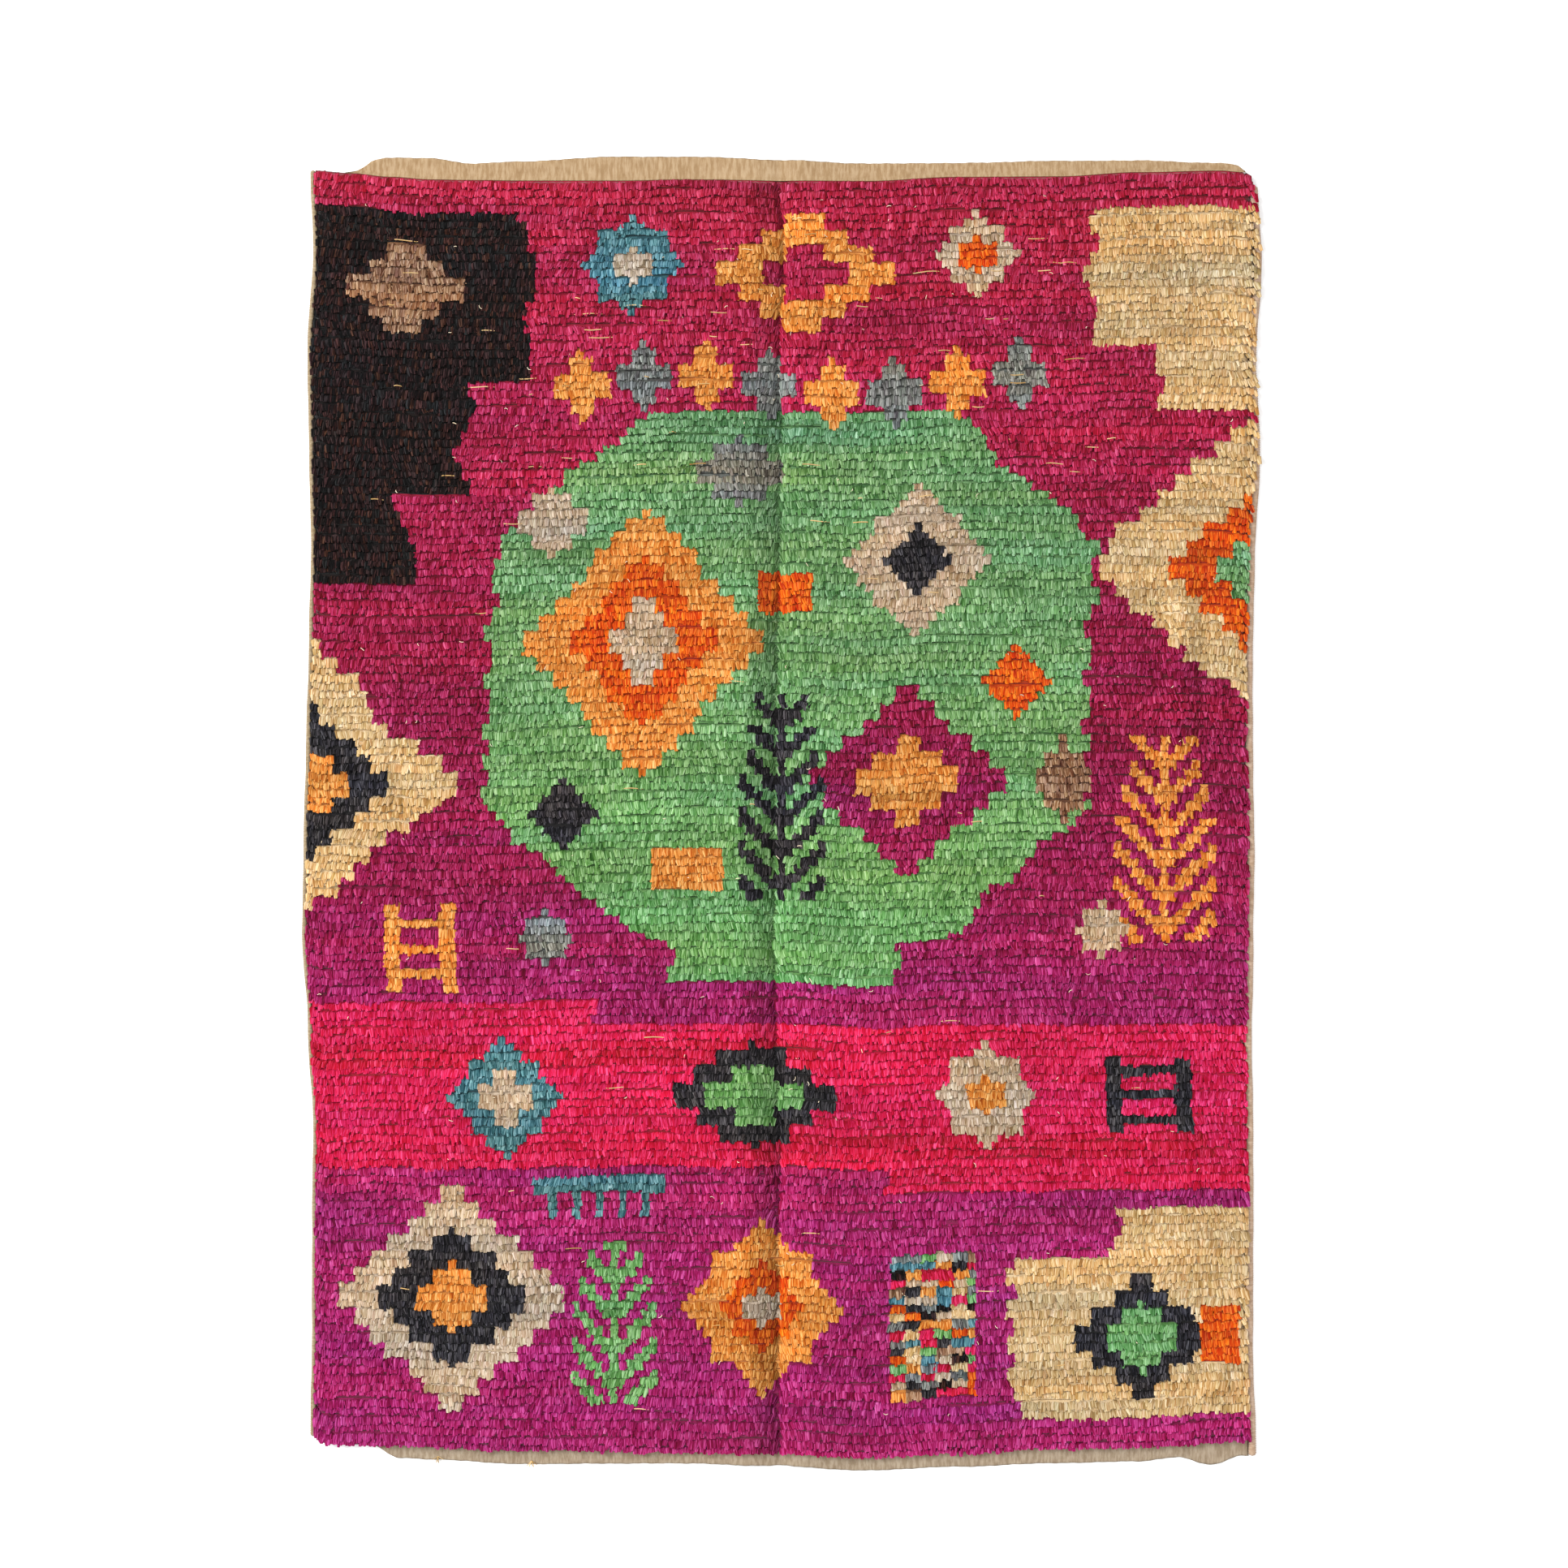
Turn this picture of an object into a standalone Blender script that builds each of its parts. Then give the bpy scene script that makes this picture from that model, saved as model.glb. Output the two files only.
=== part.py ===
"""A hand-knotted pile rug lying flat: uneven edges, 155 raised rows, a lengthwise crease and soft ripples.

Metres, +Z up, length along Y. The rug rests on z = 0 with the origin under the middle of its box.
A share is a position along a side, from 0 to 1: across from the left, or up from the bottom end.
"""

import math
from typing import NamedTuple

import bmesh
import bpy
from mathutils import Matrix, Vector

MM = 0.001
COLLECTION = "berber_rug"

HALF_WIDTH = 0.9037  # middle to the outside of a selvedge
TOP_UP = 1.212  # nominal ends of the pile
BOTTOM_UP = -1.215
ROWS = 155
ROW_BOW = 30 * MM  # how far the rows rise in the middle, at mid length

CREST = 16.5 * MM
GROOVE = 12.5 * MM
CREST_SHARE = 0.30  # the pile leans down, so a row's crest lies near its lower edge
CREST_WAVER = 0.9 * MM
WAVER_PER_COLUMN = 2.4  # radians of the waver's wave from column to column and step to step
WAVER_PER_STEP = 0.83
WAVER_DRIFT = 0.31
PILE_RIM = 9 * MM  # pile height where it falls away at the ends and sides

BAND_THICK = 3.5 * MM
BAND_ROUND = 1.0 * MM
BAND_SPANS = 60
BAND_LEAST_SPAN = 0.004  # as a share of the pile's width
LEFT_CORD = 9 * MM
RIGHT_CORD = 14 * MM
CORD_HIGH = 8 * MM
GAP = 0.4 * MM  # between neighbouring pieces
SIDE_SPANS = 28  # straight stretches that each side edge is made of

CREASE_SHARE = 0.497
CREASE_CREST = 0.028  # from the crease to the swell on each side of it, in shares of the pile's width
CREASE_FOOT = 0.0885  # from the crease to where that swell ends
CREASE_HIGH_BOTTOM = 7 * MM
CREASE_HIGH_TOP = 4 * MM


class SideStop(NamedTuple):
    """How far each side edge lies outside its nominal line, at a share of the length."""

    share: float
    left_mm: float
    right_mm: float


class EndStop(NamedTuple):
    """How far up the pile's end lies from nominal, and the flat band's depth there."""

    across: float
    up_mm: float
    band_mm: float


class Fold(NamedTuple):
    """A soft ripple in the cloth, highest at its middle and gone at its rim."""

    across: float
    up: float
    heading_deg: float
    half_length: float
    half_width: float
    high_mm: float


class CordPoint(NamedTuple):
    """A corner of a selvedge's section, as shares from the pile outwards and from the floor up."""

    out: float
    up: float


SIDE_STOPS = [
    SideStop(0.000, -4, 1),
    SideStop(0.093, -7, -5),
    SideStop(0.169, -7, -4),
    SideStop(0.246, -9, -4),
    SideStop(0.323, 1, -7),
    SideStop(0.399, 12, -4),
    SideStop(0.476, 9, -2),
    SideStop(0.553, 4, -5),
    SideStop(0.629, -1, -5),
    SideStop(0.706, -5, -1),
    SideStop(0.782, -1, 9),
    SideStop(0.859, 2, 2),
    SideStop(0.936, -9, 12),
    SideStop(1.000, -4, 4),
]

TOP_STOPS = [
    EndStop(-0.900, 14, 9),
    EndStop(-0.827, 9, 9),
    EndStop(-0.749, 2, 36),
    EndStop(-0.672, -3, 40),
    EndStop(-0.594, -4, 31),
    EndStop(-0.501, -5, 36),
    EndStop(-0.315, -5, 45),
    EndStop(-0.176, -3, 43),
    EndStop(-0.005, -6, 39),
    EndStop(0.150, -6, 33),
    EndStop(0.336, 2, 26),
    EndStop(0.522, 3, 29),
    EndStop(0.677, 11, 22),
    EndStop(0.832, 14, 14),
    EndStop(0.878, 11, 12),
    EndStop(0.906, -26, 12),
]
TOP_BAND = (0.0377, 0.9937)  # the shares of the pile's width between which the band shows

BOTTOM_STOPS = [
    EndStop(-0.900, 26, 9),
    EndStop(-0.873, 9, 9),
    EndStop(-0.788, 8, 9),
    EndStop(-0.749, 8, 25),
    EndStop(-0.672, 3, 23),
    EndStop(-0.501, -3, 26),
    EndStop(-0.315, -2, 26),
    EndStop(-0.176, -6, 22),
    EndStop(-0.005, -5, 26),
    EndStop(0.150, -16, 25),
    EndStop(0.336, -6, 28),
    EndStop(0.522, 2, 29),
    EndStop(0.677, 5, 29),
    EndStop(0.754, 10, 26),
    EndStop(0.819, 15, 45),
    EndStop(0.878, 17, 30),
    EndStop(0.901, 17, 30),
]
BOTTOM_BAND = (0.0596, 1.0)

FOLDS = [
    Fold(0.762, 0.34, 90, 0.34, 0.048, 10),
    Fold(-0.773, 0.08, 90, 0.16, 0.048, 7),
    Fold(-0.560, -1.07, 22, 0.22, 0.070, 8),
    Fold(0.830, -1.07, 80, 0.10, 0.040, 5),
]

CORD_SECTION = [
    CordPoint(0.10, 0.00),
    CordPoint(0.80, 0.00),
    CordPoint(1.00, 0.34),
    CordPoint(0.96, 0.68),
    CordPoint(0.74, 0.94),
    CordPoint(0.40, 1.00),
    CordPoint(0.08, 0.86),
    CordPoint(0.00, 0.45),
]

# Closer where an end line turns, at the crease and across the two side ripples.
COLUMN_SHARES = [
    0, 0.0119, 0.0428, 0.068, 0.0932, 0.148, 0.204,
    CREASE_SHARE - CREASE_FOOT, CREASE_SHARE - CREASE_CREST, CREASE_SHARE,
    CREASE_SHARE + CREASE_CREST, CREASE_SHARE + CREASE_FOOT,
    0.9035, 0.9287, 0.954, 0.9937, 1,
]  # fmt: skip

FINISHES = {
    "rug_field": ("pile_wool", (0.31, 0.022, 0.085), 0.95),
    "end_weave_top": ("top_band_weave", (0.58, 0.40, 0.22), 0.9),
    "end_weave_bottom": ("bottom_band_weave", (0.47, 0.36, 0.24), 0.9),
    "selvedge_left": ("left_cord_wool", (0.60, 0.48, 0.33), 0.9),
    "selvedge_right": ("right_cord_wool", (0.55, 0.38, 0.26), 0.9),
}


def mix(low, high, share):
    return low + (high - low) * share


def read(table, at, value):
    """Reads a column of a table at a place on its first column, easing from row to row."""
    at = min(max(at, table[0][0]), table[-1][0])
    for low, high in zip(table, table[1:]):
        if at <= high[0]:
            ease = (1 - math.cos(math.pi * (at - low[0]) / (high[0] - low[0]))) / 2
            return mix(getattr(low, value), getattr(high, value), ease) * MM


def side_edge(share, value):
    """Outward offset of a side edge, straight between stations so that neighbours share its line."""
    place = min(max(share, 0), 1) * SIDE_SPANS
    station = min(int(place), SIDE_SPANS - 1)
    low = read(SIDE_STOPS, station / SIDE_SPANS, value)
    high = read(SIDE_STOPS, (station + 1) / SIDE_SPANS, value)
    return mix(low, high, place - station)


def pile_left(up_share):
    return -HALF_WIDTH - side_edge(up_share, "left_mm") + LEFT_CORD + GAP


def pile_right(up_share):
    return HALF_WIDTH + side_edge(up_share, "right_mm") - RIGHT_CORD - GAP


def top_line(x):
    return TOP_UP + read(TOP_STOPS, x, "up_mm")


def bottom_line(x):
    return BOTTOM_UP + read(BOTTOM_STOPS, x, "up_mm")


def on_pile(across_share, up_share):
    """The place (x, y) of a share of the pile's width and length; rows bow up in the middle."""
    nominal = mix(-HALF_WIDTH + LEFT_CORD, HALF_WIDTH - RIGHT_CORD, across_share)
    bow = ROW_BOW * math.sin(math.pi * up_share) * 4 * across_share * (1 - across_share)
    x = mix(pile_left(up_share), pile_right(up_share), across_share)
    return x, mix(bottom_line(nominal), top_line(nominal), up_share) + bow


def on_pile_end(across_share, up_share):
    """A place on the pile's end, which is straight from column to column."""
    for low, high in zip(COLUMN_SHARES, COLUMN_SHARES[1:]):
        if across_share <= high:
            start = Vector(on_pile(low, up_share))
            end = Vector(on_pile(high, up_share))
            return start.lerp(end, (across_share - low) / (high - low))


def lift(across_share, x, y):
    """How high the folds and the swells beside the crease raise the cloth from the floor."""
    beside = abs(across_share - CREASE_SHARE)
    rising = beside / CREASE_CREST
    falling = (CREASE_FOOT - beside) / (CREASE_FOOT - CREASE_CREST)
    swell = mix(CREASE_HIGH_BOTTOM, CREASE_HIGH_TOP, (y - BOTTOM_UP) / (TOP_UP - BOTTOM_UP))
    high = swell * max(0, min(rising, falling))
    for fold in FOLDS:
        heading = math.radians(fold.heading_deg)
        offset_x = x - fold.across
        offset_y = y - fold.up
        along = offset_x * math.cos(heading) + offset_y * math.sin(heading)
        aside = offset_y * math.cos(heading) - offset_x * math.sin(heading)
        along = min(abs(along) / fold.half_length, 1)
        aside = min(abs(aside) / fold.half_width, 1)
        high += fold.high_mm * MM * (1 + math.cos(math.pi * along)) / 2 * (1 + math.cos(math.pi * aside)) / 2
    return high


def pile_height(column, step):
    """Height of the pile over its cloth: odd steps are crests, even steps the grooves between rows."""
    if column in (0, len(COLUMN_SHARES) - 1) or step in (0, 2 * ROWS):
        return PILE_RIM
    wave = math.sin(WAVER_PER_COLUMN * column + WAVER_PER_STEP * step)
    drift = math.sin(WAVER_DRIFT * step + column)
    return (CREST if step % 2 else GROOVE) + CREST_WAVER * wave * drift


def pile_ring(column):
    """The section of the pile along one column: over the rows and back along the underside."""
    share = COLUMN_SHARES[column]
    ring = []
    for step in range(2 * ROWS + 1):
        row, on_crest = divmod(step, 2)
        x, y = on_pile(share, (row + CREST_SHARE * on_crest) / ROWS)
        ring.append(Vector((x, y, lift(share, x, y) + pile_height(column, step))))
    for station in reversed(range(SIDE_SPANS + 1)):
        x, y = on_pile(share, station / SIDE_SPANS)
        ring.append(Vector((x, y, lift(share, x, y))))
    return ring


def band_ring(across_share, up_share, stops):
    """The section of an end band: its inner edge meets the pile's end, its outer top edge is rounded."""
    away = 1 if up_share else -1
    x, y = on_pile_end(across_share, up_share)
    inner = y + away * GAP
    outer = inner + away * read(stops, x, "band_mm")
    floor = lift(across_share, x, y)
    section = [
        (inner, 0),
        (outer, 0),
        (outer, BAND_THICK - BAND_ROUND),
        (outer - away * BAND_ROUND, BAND_THICK),
        (inner, BAND_THICK),
    ]
    return [Vector((x, at, floor + up)) for at, up in section]


def band_rings(span, up_share, stops):
    evenly = [mix(span[0], span[1], step / BAND_SPANS) for step in range(BAND_SPANS + 1)]
    columns = [share for share in COLUMN_SHARES if span[0] < share < span[1]]
    apart = [share for share in evenly if all(abs(share - at) > BAND_LEAST_SPAN for at in columns)]
    return [band_ring(share, up_share, stops) for share in sorted(apart + columns)]


def cord_ring(inside, outward, wide, level, end_line=None):
    """The section of a selvedge whose inner face is at x = inside, level or cut along an end line."""
    ring = []
    for point in CORD_SECTION:
        x = inside + outward * wide * point.out
        slant = end_line(x) - end_line(inside) if end_line else 0
        ring.append(Vector((x, level + slant, CORD_HIGH * point.up)))
    return ring


def cord_rings(pile_edge, outward, wide, past_band):
    """A selvedge from the bottom end to the top; it may run on beside the bottom band."""
    across_share = (1 + outward) / 2
    bottom = on_pile(across_share, 0)[1]
    end_lines = {0: None if past_band else bottom_line, SIDE_SPANS: top_line}
    rings = []
    if past_band:
        inside = pile_edge(0) + outward * GAP
        band = read(BOTTOM_STOPS, inside, "band_mm")
        rings.append(cord_ring(inside, outward, wide, bottom - band))
    for station in range(SIDE_SPANS + 1):
        share = station / SIDE_SPANS
        inside = pile_edge(share) + outward * GAP
        level = on_pile(across_share, share)[1]
        rings.append(cord_ring(inside, outward, wide, level, end_lines.get(station)))
    return rings


def lofted(name, rings, ties=()):
    """A closed mesh through the rings: a grid wrapped round, its seam merged and its ends filled.

    Each tie is a pair of steps that an end face is split between, so that its triangles stay short.
    """
    around = len(rings[0])
    last = len(rings) - 1
    builder = bmesh.new()
    bmesh.ops.create_grid(builder, x_segments=around, y_segments=last, size=1)
    corners = {}
    for vertex in builder.verts:
        step = round((vertex.co.x + 1) / 2 * around) % around
        ring = round((vertex.co.y + 1) / 2 * last)
        vertex.co = rings[ring][step]
        corners[ring, step] = vertex
    bmesh.ops.remove_doubles(builder, verts=builder.verts, dist=0.01 * MM)
    rims = [edge for edge in builder.edges if edge.is_boundary]
    caps = bmesh.ops.holes_fill(builder, edges=rims, sides=0)["faces"]
    for ring in (0, last):
        for near, far in ties:
            ends = corners[ring, near], corners[ring, far]
            shared = set(ends[0].link_faces) & set(ends[1].link_faces)
            caps.append(bmesh.utils.face_split(shared.pop(), *ends)[0])
    bmesh.ops.triangulate(builder, faces=caps, quad_method="BEAUTY", ngon_method="BEAUTY")
    bmesh.ops.recalc_face_normals(builder, faces=builder.faces)
    mesh = bpy.data.meshes.new(name)
    builder.to_mesh(mesh)
    builder.free()
    return bpy.data.objects.new(name, mesh)


def pile_ties():
    """Pairs of steps of a pile ring: a station of its underside and the row step over it."""
    crossing = range(1, SIDE_SPANS)
    return [(round(at / SIDE_SPANS * 2 * ROWS), 2 * ROWS + 1 + SIDE_SPANS - at) for at in crossing]


def finish(node):
    name, colour, roughness = FINISHES[node.name]
    material = bpy.data.materials.new(name)
    material.use_nodes = True
    shader = material.node_tree.nodes["Principled BSDF"]
    shader.inputs["Base Color"].default_value = (*colour, 1)
    shader.inputs["Roughness"].default_value = roughness
    shader.inputs["Metallic"].default_value = 0
    node.data.materials.append(material)


def centre_over_origin(nodes):
    """Moves the meshes so that the middle of their common box is over the origin."""
    points = [vertex.co for node in nodes for vertex in node.data.vertices]
    middle_x = (min(point.x for point in points) + max(point.x for point in points)) / 2
    middle_y = (min(point.y for point in points) + max(point.y for point in points)) / 2
    for node in nodes:
        node.data.transform(Matrix.Translation((-middle_x, -middle_y, 0)))


def main():
    for thing in list(bpy.data.objects):
        bpy.data.objects.remove(thing, do_unlink=True)
    collection = bpy.data.collections.new(COLLECTION)
    bpy.context.scene.collection.children.link(collection)
    nodes = [
        lofted("rug_field", [pile_ring(column) for column in range(len(COLUMN_SHARES))], pile_ties()),
        lofted("end_weave_top", band_rings(TOP_BAND, 1, TOP_STOPS)),
        lofted("end_weave_bottom", band_rings(BOTTOM_BAND, 0, BOTTOM_STOPS)),
        lofted("selvedge_left", cord_rings(pile_left, -1, LEFT_CORD, past_band=False)),
        lofted("selvedge_right", cord_rings(pile_right, 1, RIGHT_CORD, past_band=True)),
    ]
    centre_over_origin(nodes)
    for node in nodes:
        finish(node)
        collection.objects.link(node)


main()
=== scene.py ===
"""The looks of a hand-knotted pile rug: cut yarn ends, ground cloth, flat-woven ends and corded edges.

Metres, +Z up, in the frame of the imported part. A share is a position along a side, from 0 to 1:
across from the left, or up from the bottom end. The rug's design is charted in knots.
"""

import logging
import math
from collections.abc import Callable, Sequence
from dataclasses import dataclass
from enum import Enum
from itertools import starmap
from typing import NamedTuple

import bpy
import numpy as np
from bpy.types import Material, Node, NodeSocket, NodeTree, Object
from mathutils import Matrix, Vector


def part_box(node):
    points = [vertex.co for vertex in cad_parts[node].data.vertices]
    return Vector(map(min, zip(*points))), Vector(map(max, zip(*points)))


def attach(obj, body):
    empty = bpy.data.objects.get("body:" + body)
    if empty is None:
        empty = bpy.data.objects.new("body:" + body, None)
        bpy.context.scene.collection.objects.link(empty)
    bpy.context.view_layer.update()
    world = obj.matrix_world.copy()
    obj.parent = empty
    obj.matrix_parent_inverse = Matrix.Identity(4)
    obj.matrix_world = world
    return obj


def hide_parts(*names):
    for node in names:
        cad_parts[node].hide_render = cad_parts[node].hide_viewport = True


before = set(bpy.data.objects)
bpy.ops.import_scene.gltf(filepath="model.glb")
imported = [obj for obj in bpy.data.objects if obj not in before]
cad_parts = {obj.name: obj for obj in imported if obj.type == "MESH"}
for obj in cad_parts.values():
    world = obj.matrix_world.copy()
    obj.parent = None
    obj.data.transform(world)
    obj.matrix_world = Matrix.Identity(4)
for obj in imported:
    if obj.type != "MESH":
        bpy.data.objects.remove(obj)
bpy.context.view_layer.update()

LOG = logging.getLogger("rug")
MM = 0.001
BODY = "root"
BAKE_MAP = "OFBake"
STRAND_MAP = "Strand"
DYE = "dye"
ON_RIM = 1e-6
BELLY_SHARE = 0.6

Values = np.ndarray | float
Surface = Callable[[np.ndarray, np.ndarray], np.ndarray]


class SideStop(NamedTuple):
    """How far each side edge lies outside its nominal line, at a share of the length."""

    share: float
    left_mm: float
    right_mm: float


class EndStop(NamedTuple):
    """How far up the pile's end lies from nominal, and the flat band's depth there."""

    across: float
    up_mm: float
    band_mm: float


class Fold(NamedTuple):
    """A soft ripple in the cloth, highest at its middle and gone at its rim."""

    across: float
    up: float
    heading_deg: float
    half_length: float
    half_width: float
    high_mm: float


SIDE_STOPS = tuple(starmap(SideStop, (
    (0.000, -4, 1), (0.093, -7, -5), (0.169, -7, -4), (0.246, -9, -4), (0.323, 1, -7), (0.399, 12, -4),
    (0.476, 9, -2), (0.553, 4, -5), (0.629, -1, -5), (0.706, -5, -1), (0.782, -1, 9), (0.859, 2, 2),
    (0.936, -9, 12), (1.000, -4, 4),
)))

TOP_STOPS = tuple(starmap(EndStop, (
    (-0.900, 14, 9), (-0.827, 9, 9), (-0.749, 2, 36), (-0.672, -3, 40), (-0.594, -4, 31),
    (-0.501, -5, 36), (-0.315, -5, 45), (-0.176, -3, 43), (-0.005, -6, 39), (0.150, -6, 33),
    (0.336, 2, 26), (0.522, 3, 29), (0.677, 11, 22), (0.832, 14, 14), (0.878, 11, 12), (0.906, -26, 12),
)))

BOTTOM_STOPS = tuple(starmap(EndStop, (
    (-0.900, 26, 9), (-0.873, 9, 9), (-0.788, 8, 9), (-0.749, 8, 25), (-0.672, 3, 23), (-0.501, -3, 26),
    (-0.315, -2, 26), (-0.176, -6, 22), (-0.005, -5, 26), (0.150, -16, 25), (0.336, -6, 28),
    (0.522, 2, 29), (0.677, 5, 29), (0.754, 10, 26), (0.819, 15, 45), (0.878, 17, 30), (0.901, 17, 30),
)))

FOLDS = (
    Fold(0.762, 0.34, 90, 0.34, 0.048, 10),
    Fold(-0.773, 0.08, 90, 0.16, 0.048, 7),
    Fold(-0.560, -1.07, 22, 0.22, 0.070, 8),
    Fold(0.830, -1.07, 80, 0.10, 0.040, 5),
)


def mix(low: Values, high: Values, share: Values) -> Values:
    """The value a share of the way from low to high."""
    return low + (high - low) * share


def near(distance: np.ndarray, reach: float) -> np.ndarray:
    """How near places are: 1 at no distance, little past the reach."""
    return np.exp(-((distance / reach) ** 2))


def eased(stops: Sequence[NamedTuple], at: Values, column: str) -> np.ndarray:
    """Reads a column of a table, easing from row to row.

    Args:
        stops: the table, in the order of its first column.
        at: places on the first column.
        column: the name of the column to read, which is in millimetres.

    Returns:
        The column's values at those places, in metres.
    """
    places = np.array([stop[0] for stop in stops])
    values = np.array([getattr(stop, column) for stop in stops])
    at = np.clip(at, places[0], places[-1])
    low = np.clip(np.searchsorted(places, at, side="right") - 1, 0, len(places) - 2)
    share = (at - places[low]) / (places[low + 1] - places[low])
    return mix(values[low], values[low + 1], (1 - np.cos(np.pi * share)) / 2) * MM


def linear(colour: str) -> np.ndarray:
    """Turns an sRGB hex colour such as #c9a979 into linear red, green and blue."""
    parts = np.array([int(colour[at : at + 2], 16) for at in (1, 3, 5)]) / 255
    return np.where(parts <= 0.04045, parts / 12.92, ((parts + 0.055) / 1.055) ** 2.4)


def painted_inner_shading(colours: np.ndarray, saturated: float, pale: float) -> np.ndarray:
    """Paints the shade inside the pile into colours by raising them to a power: dyed wool deepens in painted
    shade, and pale wool is lightened with painted light.

    Args:
        colours: linear colours, red, green and blue last.
        saturated: the power for a dark or strongly dyed yarn.
        pale: the power for undyed pale wool.

    Returns:
        The colours with the painted shade and painted light of the inside of the pile.
    """
    light = colours @ (0.2126, 0.7152, 0.0722)
    return colours ** np.interp(light, [0.12, 0.36], [saturated, pale])[..., None]


def smoothed(values: np.ndarray, reach: int) -> np.ndarray:
    """Averages each row over a soft window, which shortens it by one less than the window's reach."""
    window = np.hanning(reach + 2)[1:-1]
    return np.array([np.convolve(row, window, mode="valid") for row in values])


def drift(rng: np.random.Generator, rows: int, knots: int, along: int, between: int = 1) -> np.ndarray:
    """Noise that changes slowly along each row and, if wanted, from row to row.

    Args:
        rng: the seeded generator to draw from.
        rows: how many rows.
        knots: how many values in each row.
        along: over how many knots a value carries.
        between: over how many rows a value carries.

    Returns:
        An array of rows by knots with a mean of 0 and a spread of 1.
    """
    raw = rng.normal(size=(rows + between - 1, knots + along - 1))
    smooth = smoothed(smoothed(raw, along).T, between).T
    return (smooth - smooth.mean()) / smooth.std()


def add_node(
    tree: NodeTree,
    kind: str,
    settings: dict[str | int, object] | None = None,
    links: dict[str | int, NodeSocket] | None = None,
) -> Node:
    """Adds a node with its settings and links.

    Args:
        tree: the material's node tree.
        kind: the node's type name.
        settings: node properties by name, or input values by the input's name or number.
        links: the sockets that feed its inputs, by the input's name or number.

    Returns:
        The new node.
    """
    node = tree.nodes.new(kind)
    for name, value in (settings or {}).items():
        if isinstance(name, str) and hasattr(node, name):
            setattr(node, name, value)
        else:
            node.inputs[name].default_value = value
    for name, socket in (links or {}).items():
        tree.links.new(socket, node.inputs[name])
    return node


def new_material(name: str, sockets: dict[str, float]) -> tuple[Material, NodeTree, Node]:
    """Starts a material.

    Args:
        name: what the material is.
        sockets: the values that are the same all over it, by the shader's socket.

    Returns:
        The material, its node tree and its shader.
    """
    material = bpy.data.materials.new(name)
    material.use_nodes = True
    shader = material.node_tree.nodes["Principled BSDF"]
    for socket, value in sockets.items():
        shader.inputs[socket].default_value = value
    return material, material.node_tree, shader


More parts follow.
